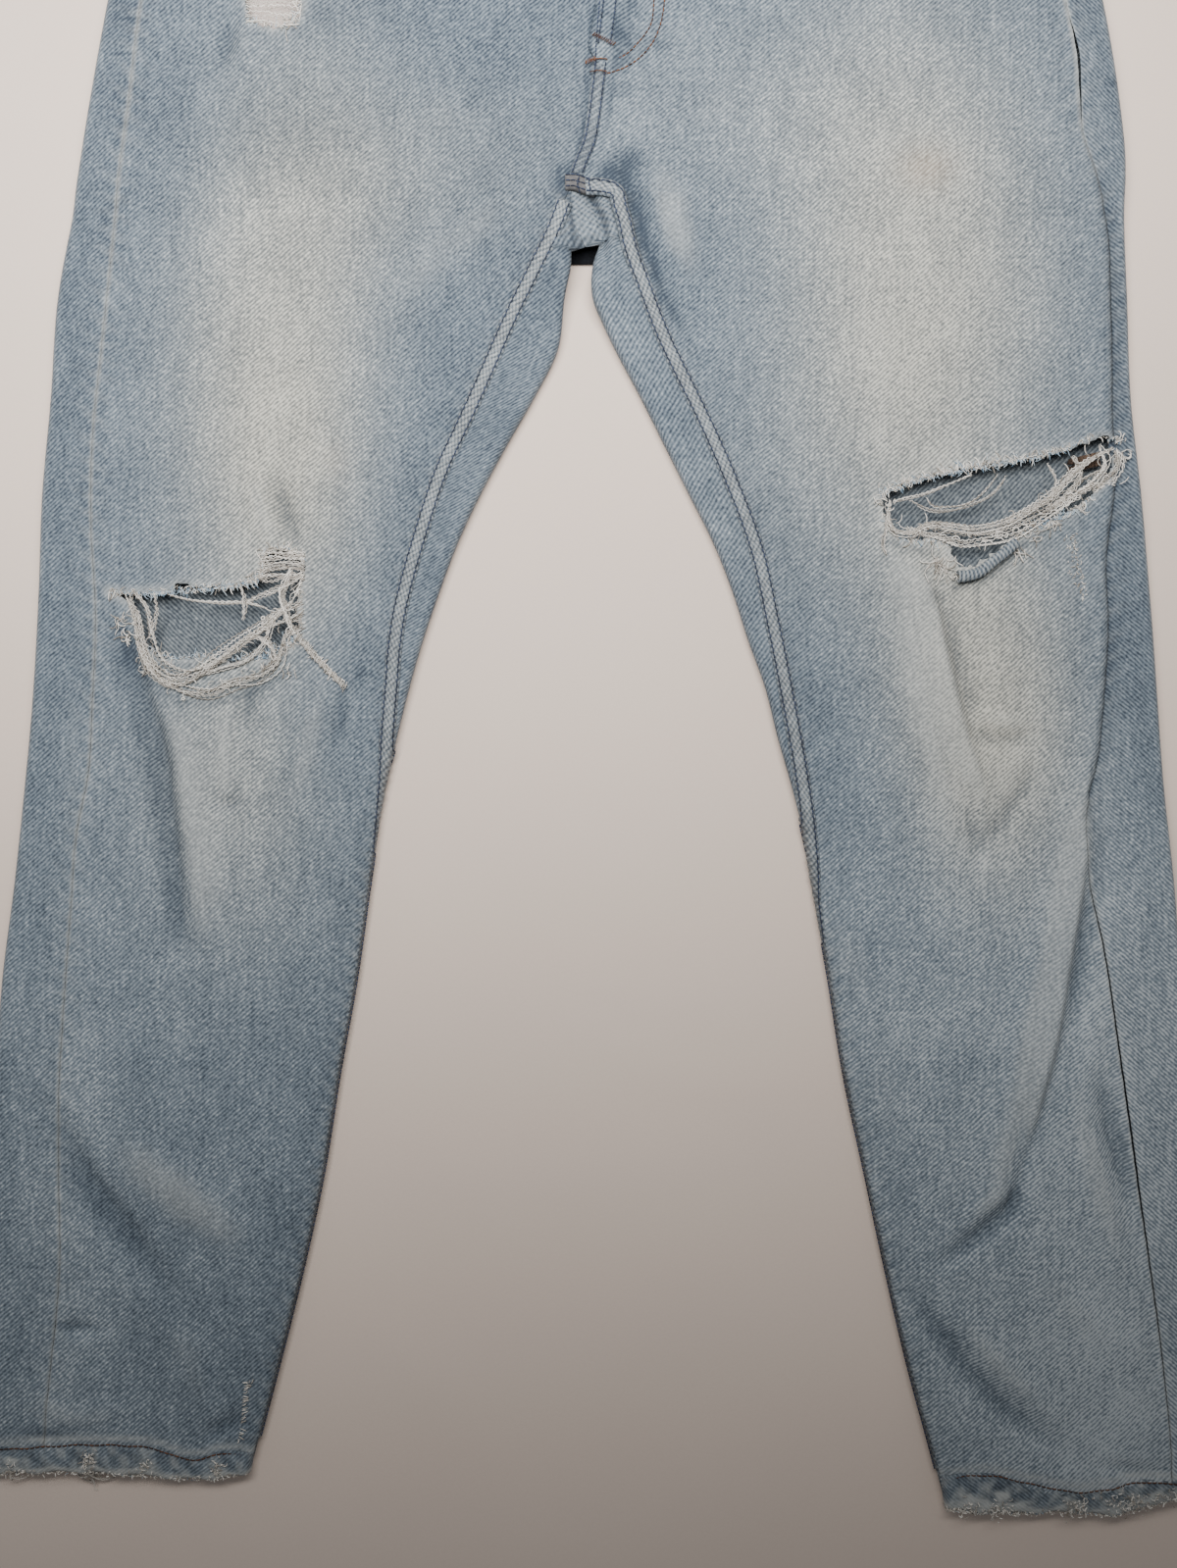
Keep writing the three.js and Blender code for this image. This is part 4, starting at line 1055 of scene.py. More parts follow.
def ribbon(
    name, node, path, half, lift, place, step=1.4, pitch=6.4, amp=0.34, fade=0.42, worn=0.5,
    stitch_at=(-3.2, 3.2), height=0.5, stain=0.0, end_shade=0.0
):
    """A felled seam's extra layers along a path: a low roll, drawn in by its rows of stitches.
    place(x, y, above) gives the x and z of what stands above the cloth at x, y."""
    length = length_of(path)
    line_pts = spline(path, int(length / step))
    across = across_of(line_pts)
    t = np.linspace(-1, 1, 9)[None, :]
    along = np.arange(len(line_pts)) * (length / (len(line_pts) - 1))
    x = line_pts[:, :1] + across[:, :1] * t * half
    y = line_pts[:, 1:] + across[:, 1:] * t * half
    a = along[:, None] + 0 * x
    rope = np.sin(math.tau * (a + 2.2 * t * half * 0.6) / pitch + 0.9 * waves(a, 0 * a, 37, 21))
    groove = sum(bell(t * half - s, 0.8) for s in stitch_at)
    body = 1 - np.abs(t) ** 6
    above = lift + height * body + amp * rope * body - 0.42 * groove - (lift + 0.2) * (np.abs(t) > 0.99)
    x, z = place(x, y, above)
    numbers = {
        "fade": fade + 0.1 * waves(x, y, 30, 22),
        "worn": worn * np.clip(rope, 0, 1) * body * (1 - 0.6 * groove) + 0.08,
        # darker in the rope's troughs and the stitch grooves, with painted shade growing towards the far end
        "dark": np.clip(-rope, 0, 1) ** 1.5 * body + 0.5 * groove + end_shade * smooth(0.35, 0.95, a / length),
        "stain": stain,
    }
    P = np.stack([x, y, z], -1)
    uv = np.stack([t * half + 0 * x, a], -1)
    ob = cloth(name, node, P, uv, M_SEAM, 1, numbers=numbers, thick=0.7)
    rows = []
    for s in stitch_at:
        sx = line_pts[:, 0] + across[:, 0] * s
        sy = line_pts[:, 1] + across[:, 1] * s
        sx, sz = place(sx, sy, lift + height + 0.05)
        rows.append(np.stack([sx, sy, sz], 1))
    return ob, P, rows


def stitch_row(path3, pitch=2.9, length=2.45):
    """Stitches along a line: short low arches with a gap between."""
    run = run_of(path3)
    out = []
    s = 0.4
    while s + length < run[-1]:
        at = np.linspace(s, s + length, 4)
        p = np.stack([np.interp(at, run, path3[:, k]) for k in range(3)], 1)
        p[:, 2] += np.array([-0.25, 0.12, 0.12, -0.25])
        out.append(p)
        s += pitch
    return out


def over_left(path, lift, count=None):
    """A flat path laid on the left leg's top."""
    p = spline(path, count or max(int(length_of(path) / 1.5), 4))
    return np.column_stack([p, top(left, p[:, 0], p[:, 1]) + lift])


def both_tops(x, y):
    return np.where(x < CENTRE(y), top(right, x, y), top(left, x, y))


def laid_on(height_of):
    return lambda x, y, above: (x, height_of(x, y) + above)


def wrapped(leg):
    """Places a strip on a leg's top; what would pass the inner edge goes round under it."""

    def place(x, y, above):
        beyond = (x - leg.inner(y)) * leg.inward
        under = (beyond > 0) & (y < LIP)
        past = np.maximum(beyond, 0)
        t = tube(offset(past)) / R
        x_under = leg.inner(y) - leg.inward * (offset(past) - above * (1 - t))
        z_under = base(x, y) + R - R * t - above * t
        z_over = top(leg, x, y) + above + (1.9 * smooth(LIP - 22, LIP + 6, y) if leg is left else 0)
        return np.where(under, x_under, x), np.maximum(np.where(under, z_under, z_over), 0.02)

    return place


navy, rust = [], []
seam_objects = {}

for leg in LEGS:
    first = [222.5, 218, 212, 204, 196, 186, 174] if leg is left else [214, 204, 196, 186, 174]
    ys = np.concatenate([first, np.arange(160, leg.hem + 4, -18), [leg.hem + 3]])
    xs = seam_x(leg, ys)
    # it lies on the leg's top, and further down it rolls under the inner edge
    shift = mix(-3.9, 0.0, smooth(leg.seam_end - 50, leg.seam_end + 45, ys))
    path = list(zip(xs - leg.inward * shift, ys))
    if leg is left:
        path = [(-6, 221.5), (-1, 221.8)] + path[1:]
    ob, P, rows = ribbon(
        f"inseam_{leg.name}_felled", f"inseam_{leg.name}", path, 5.0, 0.55, wrapped(leg), step=0.85,
        pitch=4.2, amp=0.42, worn=0.8, fade=0.42
    )
    seam_objects[leg.name] = (ob, P)
    for row in rows:
        navy += stitch_row(row)

# the rise grows darker towards its lower end: painted shade of the crotch
rise, P_RISE, rows = ribbon(
    "front_rise_felled", "front_rise",
    [(4.5, 309), (2.5, 296), (0.5, 279), (-1.5, 263), (-4, 249), (-8.5, 237), (-11, 229.5)], 4.4, 0.5,
    laid_on(both_tops), pitch=5.5, amp=0.12, worn=0.25, fade=0.48, stitch_at=(-2.6, 3.0), end_shade=0.4
)
for row in rows:
    navy += stitch_row(row)

# The crossing of the four seams, a small thick square. Its low fade and brown stain paint it darker, as the
# crotch's shade.
cross_path = [(-17.5, 224.5), (-12, 224.5), (-6, 222.5), (0, 221)]
cross, _, rows = ribbon(
    "crotch_crossing", None, cross_path, 4.8, 1.5, laid_on(both_tops), step=0.9, pitch=4.5, amp=0.25,
    worn=0.12, fade=-0.14, stitch_at=(-3.0, 0.2, 3.6), height=0.8, stain=0.3, end_shade=0.001
)
for row in rows:
    navy += stitch_row(row)

for path in ([(-9.5, 226.5), (-10.5, 222), (-9, 217)], [(-4, 226), (-3.5, 220), (-2, 217)]):
    navy += stitch_row(over_left(path, 3.4, 8), pitch=2.4, length=2.1)

# The fly's folded edge goes on up from the rise.
fly_edge, _, rows = ribbon(
    "fly_edge_fold", None, [(4.3, 305), (6.0, 318), (7.6, 332), (8.4, 350), (8.6, 400), (8.6, 457)],
    5.6, 0.6, laid_on(lambda x, y: top(left, x, y)), pitch=7.0, amp=0.12, worn=0.2, fade=0.5,
    stitch_at=(-3.8, 3.2)
)
for row in rows:
    row[:, 2] += 2.3
    navy += stitch_row(row)

# Fly: two curved rows, and the bar tacks.
for path in (
    [(33, 455), (33.5, 380), (33, 331), (31.5, 319), (25, 309), (16, 300.5), (6, 297), (-1, 298)],
    [
        (39.3, 455), (39.8, 380), (39, 331), (37, 319), (32, 307.5), (24, 298.5), (14, 292.5), (5, 290),
        (-1, 290.5)
    ]
):
    rust += stitch_row(over_left(path, 0.35), pitch=2.7, length=2.15)
edge_rows = [
    [(2.4, 455), (2.2, 332), (0.8, 316), (-0.2, 300), (-0.8, 288)], [(9.5, 455), (9.2, 332), (6.0, 313)]
]
for path in edge_rows:
    navy += stitch_row(over_left(path, 2.5 if path[0][0] < 5 else 1.6), pitch=2.7, length=2.1)


def bar_tack(a, b, lift, width=1.1, turns=11):
    """A zigzag of thread from a to b."""
    p = np.linspace(a, b, turns * 2)
    way = np.array(b, float) - a
    way /= np.linalg.norm(way)
    n = np.array([-way[1], way[0]])
    zig = p + n * (np.where(np.arange(len(p)) % 2, 1, -1) * width)[:, None]
    return np.column_stack([zig, both_tops(zig[:, 0], zig[:, 1]) + lift])


tack_paths = [bar_tack((-1.5, 311), (10.5, 305), 3.6), bar_tack((-6, 295), (-0.5, 297), 3.2, turns=7)]
for path in ([(-4, 296.5), (3, 297.5), (9, 296.5)], [(-4, 289.5), (3, 290.5), (8, 289)]):
    rust += stitch_row(over_left(path, 2.6), pitch=2.6)

# ------------------------------------------------------------------ hems

HEM_EDGE = {
    "right": line((-358, -512), (-284, -512), (-256, -514), (-228, -515.5), (-203, -513), (-196, -511)),
    "left": line(
        (198, -533), (220, -535), (276, -534.5), (298, -536), (318, -531), (336, -526), (362, -527)
    ),
}
HEM_FRAYED = {  # middle and half width of each frayed stretch
    "right": [(-336, 6), (-290, 5), (-258, 5), (-217, 4)],
    "left": [(213, 6), (232, 13), (274, 8), (306, 15), (330, 8)],
}


def ring(leg, y, around):
    """Points round a leg at y: x, whether they are on top, and height above the fold's middle."""
    outer, inner = leg.outer(y), leg.inner(y)
    half = cloth_of((inner - outer) * leg.inward / 2)
    s = around * 4
    c = np.select(
        [s < 1, s < 2, s < 3, s >= 3], [half * (1 - s), half * (s - 1), half * (3 - s), half * (s - 3)]
    )
    x = np.where(s < 2, outer + leg.inward * offset(c), inner - leg.inward * offset(c))
    return x, (s < 1) | (s >= 3), tube(offset(c))


def hem_points(leg):
    """A band right round the hem, in rows from its stitches to its edge."""
    n = 220
    a = np.linspace(0, 1, n)
    v = np.linspace(0, 1, 12)[:, None]
    y_mid = leg.hem - 8.0
    x, on, rise = ring(leg, np.full(n, y_mid), a)
    y = mix(HEM_SEAM[leg.name](x)[None, :] + 1.2, HEM_EDGE[leg.name](x)[None, :], v)
    shift = (leg.outer(y) - leg.outer(y_mid)) * 0.5 + (leg.inner(y) - leg.inner(y_mid)) * 0.5
    X = x[None, :] + shift
    phase = math.tau * (X + (y - leg.hem) * 0.9 * leg.inward) / 12.5 + 1.6 * waves(X, 0 * y, 60, 31)
    rope = np.sin(phase)
    y = y + 0.9 * np.sin(phase * 0.5 + 1) * v * on
    body = np.sin(math.pi * np.clip(v * 0.94 + 0.03, 0, 1)) ** 0.5
    groove = bell(y - HEM_SEAM[leg.name](X), 1.2)
    turn_in = bell(v - 1, 0.09)
    full = crown(30.0) + 0.5 * relief(X, y) + (1 + 0.32 * rope) * body - 0.6 * groove - 1.6 * turn_in
    z = np.where(on, R + rise + full * rise / R, R - rise + 0.5 * turn_in)
    worn = 0.05 + 0.24 * np.clip(rope + waves(X, y, 14, 35), 0, 1.6) * body + 1.4 * bell(v - 0.92, 0.13)
    if leg is left:
        worn = worn + 0.5 * v**2 * np.clip(waves(X, 0 * y, 22, 38), 0, 1)
    for centre, wide in HEM_FRAYED[leg.name]:
        rough = smooth(0.25, 0.9, v + 0.25 * waves(X, y, 7, 39))
        worn = worn + 1.1 * bell(X - centre, wide) * rough * on
    dark = 0.2 * np.clip(-rope - 0.6 * waves(X, y, 17, 36), 0, 1.4) * body + 0.3 * groove
    numbers = {"fade": 0.46 + 0.07 * waves(X, y, 30, 33), "worn": worn, "dark": dark}
    girth = 2 * abs(float(leg.inner(leg.hem) - leg.outer(leg.hem)))
    return np.stack([X, y, z], -1), np.stack([a * girth + 0 * z, y], -1), numbers


hem_obs = {}
for leg in LEGS:
    P, uv, numbers = hem_points(leg)
    ob = cloth(
        f"hem_{leg.name}_roped", f"hem_{leg.name}", P, uv, M_SEAM, -1, numbers=numbers,
        thick=1.6, closed=True
    )
    hem_obs[leg.name] = (ob, P)
    lo, hi = (-352, -199) if leg is right else (200, 352)
    xs = np.arange(lo, hi, 1.5)
    ys = HEM_SEAM[leg.name](xs)
    z = top(leg, xs, ys) + 0.9
    rust += stitch_row(np.column_stack([xs, ys + 0.3 * np.sin(xs / 3), z]), pitch=3.1)

# ------------------------------------------------------------------ seat, waist and pockets


def yoke_points(leg):
    """Half of the yoke, over one back."""
    v = np.linspace(0, 1, 14)[:, None]
    y = mix(WAIST, WAIST - 34, v)
    c_side = cloth_of(np.maximum((leg.side(y) - leg.outer(y)) * leg.inward - 0.25, 1))
    # from the side seam to the outer edge, round it, and across the table to the middle
    c = mix(c_side, 0 * y, np.linspace(0, 1, 14)[None, :])
    x, rise = leg.at_outer(y, c), tube(offset(c))
    parts = [(x, base(x, y) + R + rise + crown(offset(c)) * rise / R, 1 + 0 * x)]
    c = np.linspace(0, QUARTER, 7)[None, 1:] + 0 * y
    x = leg.at_outer(y, c)
    parts.append((x, base(x, y) + R - tube(offset(c)), 0 * x))
    x = mix(leg.outer(y) + leg.inward * R, CENTRE(y) - leg.inward * 0.15, np.linspace(0, 1, 40)[None, 1:])
    parts.append((x, base(x, y) + 0 * x, 0 * x))
    X, Z, on = (np.concatenate([p[k] for p in parts], 1) for k in range(3))
    Y = mix(np.where(on > 0, front_waist(X), back_waist(X)), yoke_line(X), v)
    return np.stack([X, Y, Z], -1), np.stack([X, Y], -1)


yokes = {}
for leg in LEGS:
    P, uv = yoke_points(leg)
    name = f"yoke_{leg.name}"
    ob = cloth(f"{name}_cloth", name, P, uv, M_BACK, -1, numbers={"fade": 0.38})
    yokes[leg.name] = (ob, P)


def band_points():
    """The waistband as one flattened loop, whose ends lap at the button."""
    middle = float(CENTRE(WAIST))
    n = 420
    turns = np.linspace(0, 4, n)
    v = np.linspace(0, 1, 16)[:, None]
    y = WAIST + 0.6 + BAND * (1 - v)
    X, Y, Z = (np.zeros((16, n)) for _ in range(3))
    for k, turn in enumerate(turns):
        leg = left if turn < 2 else right
        near = turn if turn < 2 else 4 - turn
        outer = leg.outer(WAIST + 20) + 0 * y[:, 0]
        end = middle - 8 if turn < 2 else middle + 26
        front, back = cloth_of(abs(end - outer)), cloth_of(abs(middle - outer))
        c = front * (1 - near) if near < 1 else back * (near - 1)
        x = outer + leg.inward * offset(c)
        rise = tube(offset(c)) * (1 if near < 1 else -1)
        z = base(x, y[:, 0]) + R + rise + (crown(offset(c)) * np.abs(rise) / R if near < 1 else 0)
        if turn < 1:
            z = z + 3.2 * smooth(middle + 48, middle + 29, x)
        ylift = (front_waist(x) if near < 1 else back_waist(x)) - WAIST
        X[:, k], Y[:, k], Z[:, k] = x, y[:, 0] + ylift, z
    puff = np.sin(math.pi * v) ** 0.4
    Z = Z + np.where(Z > base(X, Y) + R, 0.7, 0) * puff
    return np.stack([X, Y, Z], -1), np.stack([turns[None, :] * 120 + 0 * Y, Y], -1)


P_BAND, uv = band_points()
numbers = {
    "fade": 0.42 + 0.08 * waves(P_BAND[..., 0], P_BAND[..., 1], 30, 41),
    "worn": 0.35 * bell(np.linspace(0, 1, 16)[:, None], 0.1),
}
band = cloth(
    "waistband_cloth", "waistband", P_BAND, uv, M_SEAM, -1, numbers=numbers, thick=2.4
)
for row in (2, 13):
    for half in (slice(4, 100), slice(112, 308), slice(320, 416)):
        p = P_BAND[row, half].copy()
        up = p[:, 2].mean() > 6
        p[:, 2] += 0.3 if up else -0.3
        rust += stitch_row(p, pitch=3.2, length=2.5)


def loop_points(x0, top_y, low_y, z0, bow):
    """A belt loop, bowed out by that much in its middle."""
    v = np.linspace(0, 1, 26)[:, None]
    t = np.linspace(-1, 1, 9)[None, :]
    x = x0 + t * 5.8 + 0 * v
    y = mix(top_y, low_y, v) + 0 * t
    z = z0 + bow * 4 * v * (1 - v) - 0.35 * np.abs(t) ** 4
    return np.stack([x, y, z], -1), np.stack([x, y], -1)


def box_of(node):
    """The low and high corners of a solid's box, in millimetres."""
    return (np.array(corner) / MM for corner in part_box(node))


loop_obs = []
for name in ("front_right", "front_left", "back_right", "back_centre", "back_left"):
    lo, hi = box_of(f"belt_loop_{name}")
    on_front = name.startswith("front")
    z0, bow = (lo[2] + 2.4, 2.6) if on_front else (0.15, 0)
    P, uv = loop_points((lo[0] + hi[0]) / 2, hi[1], lo[1], z0, bow)
    numbers = {"fade": 0.45, "worn": 0.2 * np.abs(np.linspace(-1, 1, 9))[None, :]}
    node, up = f"belt_loop_{name}", 1 if on_front else -1
    ob = cloth(f"{node}_cloth", node, P, uv, M_SEAM, up, numbers=numbers, thick=1.5)
    loop_obs.append((ob, P))
    for col in (2, 6):
        p = P[:, col].copy()
        p[:, 2] += 0.25 if on_front else -0.02
        rust += stitch_row(p, pitch=2.9, length=2.2)
    for end in (1, -2):
        zig = np.linspace(P[end, 1], P[end, 7], 18)
        zig[:, 1] += np.where(np.arange(18) % 2, 0.8, -0.8)
        zig[:, 2] += 0.35 if on_front else -0.02
        tack_paths.append(zig)


def flat_piece(node, outline_rows, z_of, up, material=None, cols=24, thick=0.8):
    """A flat piece between its left and right edges, given as (y, x left, x right) rows."""
    ys, left_x, right_x = np.array(outline_rows, float).T
    at = np.linspace(0, 1, max(int(abs(ys[0] - ys[-1]) / 4.0), 4))
    run = np.concatenate([[0], np.cumsum(np.abs(np.diff(ys)))]) / np.abs(np.diff(ys)).sum()
    y, a, b = (np.interp(at, run, edge)[:, None] for edge in (ys, left_x, right_x))
    x = mix(a, b, np.linspace(0, 1, cols)[None, :])
    y = y + 0 * x
    P = np.stack([x, y, z_of(x, y)], -1)
    uv, numbers = P[..., :2], {"fade": 0.38}
    return cloth(
        f"{node}_cloth", node, P, uv, material or M_BACK, up, numbers=numbers, thick=thick
    ), P


FACING = [
    (WAIST - 6, 132, 234), (446, 140, 246), (420, 152, 253), (400, 172, 257), (386, 232, 258),
    (374, 238, 259),
]
BAG = [
    (WAIST - 6, 102, 222), (420, 100, 224), (350, 100, 224), (325, 106, 218), (305, 122, 202),
    (293, 140, 184),
]


def pocket_pieces(leg):
    """One leg's pocket facing, pocket bag and back pocket."""
    out = -leg.inward
    facing, bag = ([(y, out * a, out * b) for y, a, b in rows] for rows in (FACING, BAG))
    lo, hi = box_of(f"back_pocket_{leg.name}")
    cx, half = (lo[0] + hi[0]) / 2, (hi[0] - lo[0]) / 2 - 0.5
    patch = [
        (hi[1] - 0.4, cx - half, cx + half), (lo[1] + 26, cx - half + 7, cx + half - 7),
        (lo[1] + 1, cx - 6, cx + 6)
    ]
    made = [
        flat_piece(
            f"pocket_facing_{leg.name}", facing, lambda x, y: top(leg, x, y, False) - CLOTH - 0.9, 1
        ),
        flat_piece(
            f"pocket_bag_{leg.name}", bag, lambda x, y: 6.6 + 0.5 * waves(x, y, 60, 51), 1, M_COTTON,
            30, 0.5
        ),
        flat_piece(f"back_pocket_{leg.name}", patch, lambda x, y: 0.25 + 0 * x, -1, thick=1.3),
    ]
    # two rows round the back pocket, and one under its mouth
    rows = []
    for inset in (3.5, 9.0):
        side, low = half - 7 - inset, lo[1] + 27 + inset * 0.3
        corner = [
            (cx - half + inset, hi[1] - 1), (cx - side, low), (cx, lo[1] + inset * 1.15),
            (cx + side, low), (cx + half - inset, hi[1] - 1)
        ]
        rows.append(np.concatenate([np.linspace(corner[i], corner[i + 1], 40) for i in range(4)]))
    rows.append(np.linspace((cx - half + 2, hi[1] - 12), (cx + half - 2, hi[1] - 12), 60))
    sewn = []
    for p in rows:
        sewn += stitch_row(np.column_stack([p, np.full(len(p), 0.2)]), pitch=3.2, length=2.5)
    # two rows beside the front pocket's mouth
    ys = np.linspace(WAIST - 1, 388, 60)
    for inset in (2.2, 8.4):
        xs = leg.side(ys) + leg.inward * (scoop(ys) + inset)
        yy = ys + smooth(380, WAIST, ys) * (front_waist(xs) - WAIST)
        sewn += stitch_row(np.column_stack([xs, yy, top(leg, xs, ys) + 0.3]), pitch=3.0, length=2.3)
    return made, sewn


pieces = []
for leg in LEGS:
    made, sewn = pocket_pieces(leg)
    pieces += made
    rust += sewn
lo, hi = box_of("fly_shield")
ends = [(y, lo[0] + 1, hi[0] - 1) for y in (hi[1], lo[1])]
pieces.append(flat_piece("fly_shield", ends, lambda x, y: lo[2] + 1.0 + 0 * x, 1, cols=8))

# ------------------------------------------------------------------ the flap rolled back at the left knee

roll_line = spline([(206.5, 3), (211, 3.2), (218, 5), (226, 11), (233, 16.5), (240, 22.5)], 70)
norm = across_of(roll_line)
turn = np.linspace(-0.4, 1.35, 22)[None, :] * math.pi
run = np.linspace(0, 39, 70)[:, None]
rr = 3.1 + 0.25 * np.sin(run * 2.4) + 0.5 * bell(run, 6) + 0 * turn
bx, by = roll_line[:, :1], roll_line[:, 1:]
X = bx + norm[:, :1] * rr * np.cos(turn)
Y = by + norm[:, 1:] * rr * np.cos(turn)
Z = top(left, bx, by) + 2.9 + rr * np.sin(turn) * 0.8
P_ROLL = np.stack([X, Y, Z], -1)
uv = np.stack([run + 0 * X, turn * 3 + 0 * X], -1)
ribs = np.sin(run * math.tau / 2.3 + 0.5 * turn)
numbers = {"fade": 0.42, "worn": 0.05 + 0.75 * np.clip(ribs, 0, 1), "dark": 0.4 * np.clip(-ribs, 0, 1)}
roll = cloth(
    "torn_flap_left_roll", "torn_flap_left", P_ROLL, uv, M_FRONT, 1, numbers=numbers, thick=0.8
)

# ------------------------------------------------------------------ torn yarns

rng = np.random.default_rng(2)


def lie(x, y, lift):
    """Height for a loose yarn lying over the cloth or across a tear."""
    return both_tops(x, y) + lift


def strand_bundle(path, count, spread, lift=(0.6, 2.6), loose=0.6, seed=0, ends=1.0):
    """Yarns that lie side by side along a path, crossing and straying a little."""
    rng = np.random.default_rng(seed)
    out = []
    p0 = spline(path, max(int(length_of(path) / 0.95), 8))
    norm = across_of(p0)
    s = np.linspace(0, 1, len(p0))
    arch = np.sin(math.pi * s)
    for _ in range(count):
        place = rng.uniform(-1, 1) * spread
        drift = 0
        for f in (1, 2, 3, 5):
            size = rng.normal(0, loose / f)
            drift = drift + size * np.sin(math.pi * f * s * rng.uniform(0.8, 1.5) + rng.uniform(0, 6))
        twist = 0.35 * spread * np.sin(math.tau * s * rng.uniform(0.6, 2.2) + rng.uniform(0, 6))
        away = place * (0.55 + 0.45 * arch) + drift * np.sin(math.pi * np.clip(s, 0.04, 0.96)) + twist * arch
        a, b = (rng.uniform(0, 0.10), rng.uniform(0.9, 1)) if rng.random() < 0.55 * ends else (0, 1)
        crimp = rng.uniform(0.2, 0.6) * np.sin(s * len(s) * rng.uniform(1.5, 2.6) + rng.uniform(0, 6))
        q = p0 + norm * (away + crimp)[:, None]
        z = lie(q[:, 0], q[:, 1], rng.uniform(*lift) * (0.35 + 0.65 * arch) + 0.5)
        z = z + 0.42 * np.sin(s * len(s) * rng.uniform(1.2, 2.4) + rng.uniform(0, 6))
        out.append(np.column_stack([q, z])[(s >= a) & (s <= b)])
    return out


def whisker(x, y, heading, length, curl, lift=0.4, rise=0.8):
    """One loose end: it starts in the cloth's edge and wanders off in a curve."""
    n = max(int(length / 0.9), 4)
    turn = heading + np.cumsum(np.full(n, curl / n) + rng.normal(0, 0.16, n))
    steps = np.stack([np.cos(turn), np.sin(turn)], 1) * (length / n)
    p = np.vstack([[x, y], np.array([x, y]) + np.cumsum(steps, axis=0)])
    s = np.linspace(0, 1, n + 1)
    z = lie(p[:, 0], p[:, 1], lift) + rise * np.sin(s * math.pi * 0.8)
    return np.column_stack([p, z])


pale, fuzz = [], []


def stray(x, y, way, sizes, curls, lift=0.4, rise=0.8):
    """A pale loose end of drawn length and curl. A rise given as two numbers is drawn as well."""
    size, curl = rng.uniform(*sizes), rng.normal(*curls)
    up = rng.uniform(*rise) if isinstance(rise, tuple) else rise
    pale.append(whisker(x, y, way, size, curl, lift=lift, rise=up))


def fringe(path, outward, spacing, length, both=0.4, blue=0.5, lift=0.1, jitter=0.55):
    """Short cut ends along a torn edge. outward is the heading that they mostly take."""
    for x, y in spline(path, max(int(length_of(path) / spacing), 3)):
        for _ in range(1 + (rng.random() < both)):
            way = outward + rng.normal(0, jitter)
            size = length * rng.lognormal(0, 0.45)
            x1, y1 = x + rng.normal(0, 0.4), y + rng.normal(0, 0.4)
            curl = rng.normal(0, 1.4)
            w = whisker(x1, y1, way, min(size, length * 2.6), curl, lift=lift, rise=rng.uniform(-0.3, 0.7))
            (fuzz if rng.random() < blue else pale).append(w)


def tuft(x, y, heading, count, length, spread=0.5, width=1.5):
    """Loose ends that start close together and take about the same heading."""
    for _ in range(count):
        x1, y1 = x + rng.normal(0, width), y + rng.normal(0, width * 0.5)
        way, size = heading + rng.normal(0, spread), length * rng.uniform(0.4, 1.3)
        pale.append(whisker(x1, y1, way, size, rng.normal(0, 2.0), rise=rng.uniform(0, 1.6)))


DOWN, UP, LEFT = -math.pi / 2, math.pi / 2, math.pi

# the right knee: its two main bundles first
RIGHT_UPPER = [
    (-268, -6), (-262, -22), (-259, -37), (-253, -49), (-242, -56), (-229, -52.5), (-215, -43),
    (-203, -34), (-191, -26), (-178, -16), (-170, -12),
]
RIGHT_LOWER = [
    (-262, -34), (-257, -45), (-249, -55), (-237, -61.5), (-223, -63), (-206, -57), (-191, -53),
    (-183, -47), (-180, -39), (-177, -30), (-170, -26),
]
pale += strand_bundle(RIGHT_UPPER, 10, 2.7, seed=1, loose=1.5, lift=(0.3, 3.6))
path = [
    (-266, -4), (-258, -14), (-254, -30), (-247, -46), (-235, -52), (-218, -47), (-196, -31),
    (-170, -19),
]
pale += strand_bundle(path, 4, 1.7, seed=2, loose=0.9)
pale += strand_bundle(RIGHT_LOWER, 8, 3.0, seed=3, loose=1.7, lift=(0.3, 3.0))
for path, count, spread, seed, loose in (
    ([(-232, -55), (-214, -50), (-198, -44), (-188, -33), (-184, -22), (-172, -10)], 6, 1.4, 4, 0.6),
    ([(-245, -7), (-236, -9.5), (-227, -11), (-214, -12.3), (-200, -12), (-188, -15)], 5, 0.7, 5, 0.35),
    ([(-201, -12), (-190, -7), (-177, -2), (-168, 3)], 5, 0.9, 6, 0.4),
    ([(-203, -2), (-201, -10), (-202, -22)], 4, 0.8, 7, 0.4),
    ([(-253, -6), (-251.5, -15), (-253, -27), (-257, -34)], 4, 0.8, 8, 0.5),
    ([(-203, -33), (-192, -33), (-186, -38), (-182, -46)], 4, 0.8, 9, 0.5),
    ([(-186, -17), (-188, -30), (-184, -44), (-192, -51)], 4, 1.0, 10, 0.6),
):
    pale += strand_bundle(path, count, spread, seed=seed, loose=loose)
# the weft-only patch at its top right corner, and the combed edge below it
for k in range(26):
    y0 = 17.5 - k * 0.64
    start, wave = -193 + rng.uniform(-1, 2), rng.normal(0, 1.1, 2)
    path = [(start, y0 - 1.5), (-184, y0 + wave[0]), (-176, y0 + wave[1]), (-166.5, y0 - 0.5)]
    pale += strand_bundle(path, 1, 0.1, seed=40 + k, loose=0.5, lift=(0.1, 0.7), ends=0)
for k in range(34):
    y0 = 6 - k * 1.15
    stray(
        -167.5 + rng.normal(0, 0.5), y0, LEFT + rng.normal(0.35, 0.22), (5, 12), (0.7, 0.6),
        rise=(-0.8, 0.6)
    )
pale += strand_bundle([(-174, 8), (-179, -6), (-176, -20), (-172, -30)], 9, 2.2, seed=11, loose=1.0)
fringe([(-279, -5), (-256, -5.5), (-243, -5), (-219, -3), (-199, 0), (-192, 3)], DOWN, 0.45, 2.4, blue=0.75)
fringe([(-243, -4.5), (-219, -2.5), (-199, 0.5), (-191, 5)], UP, 1.0, 2.2, blue=0.5, lift=0.3)
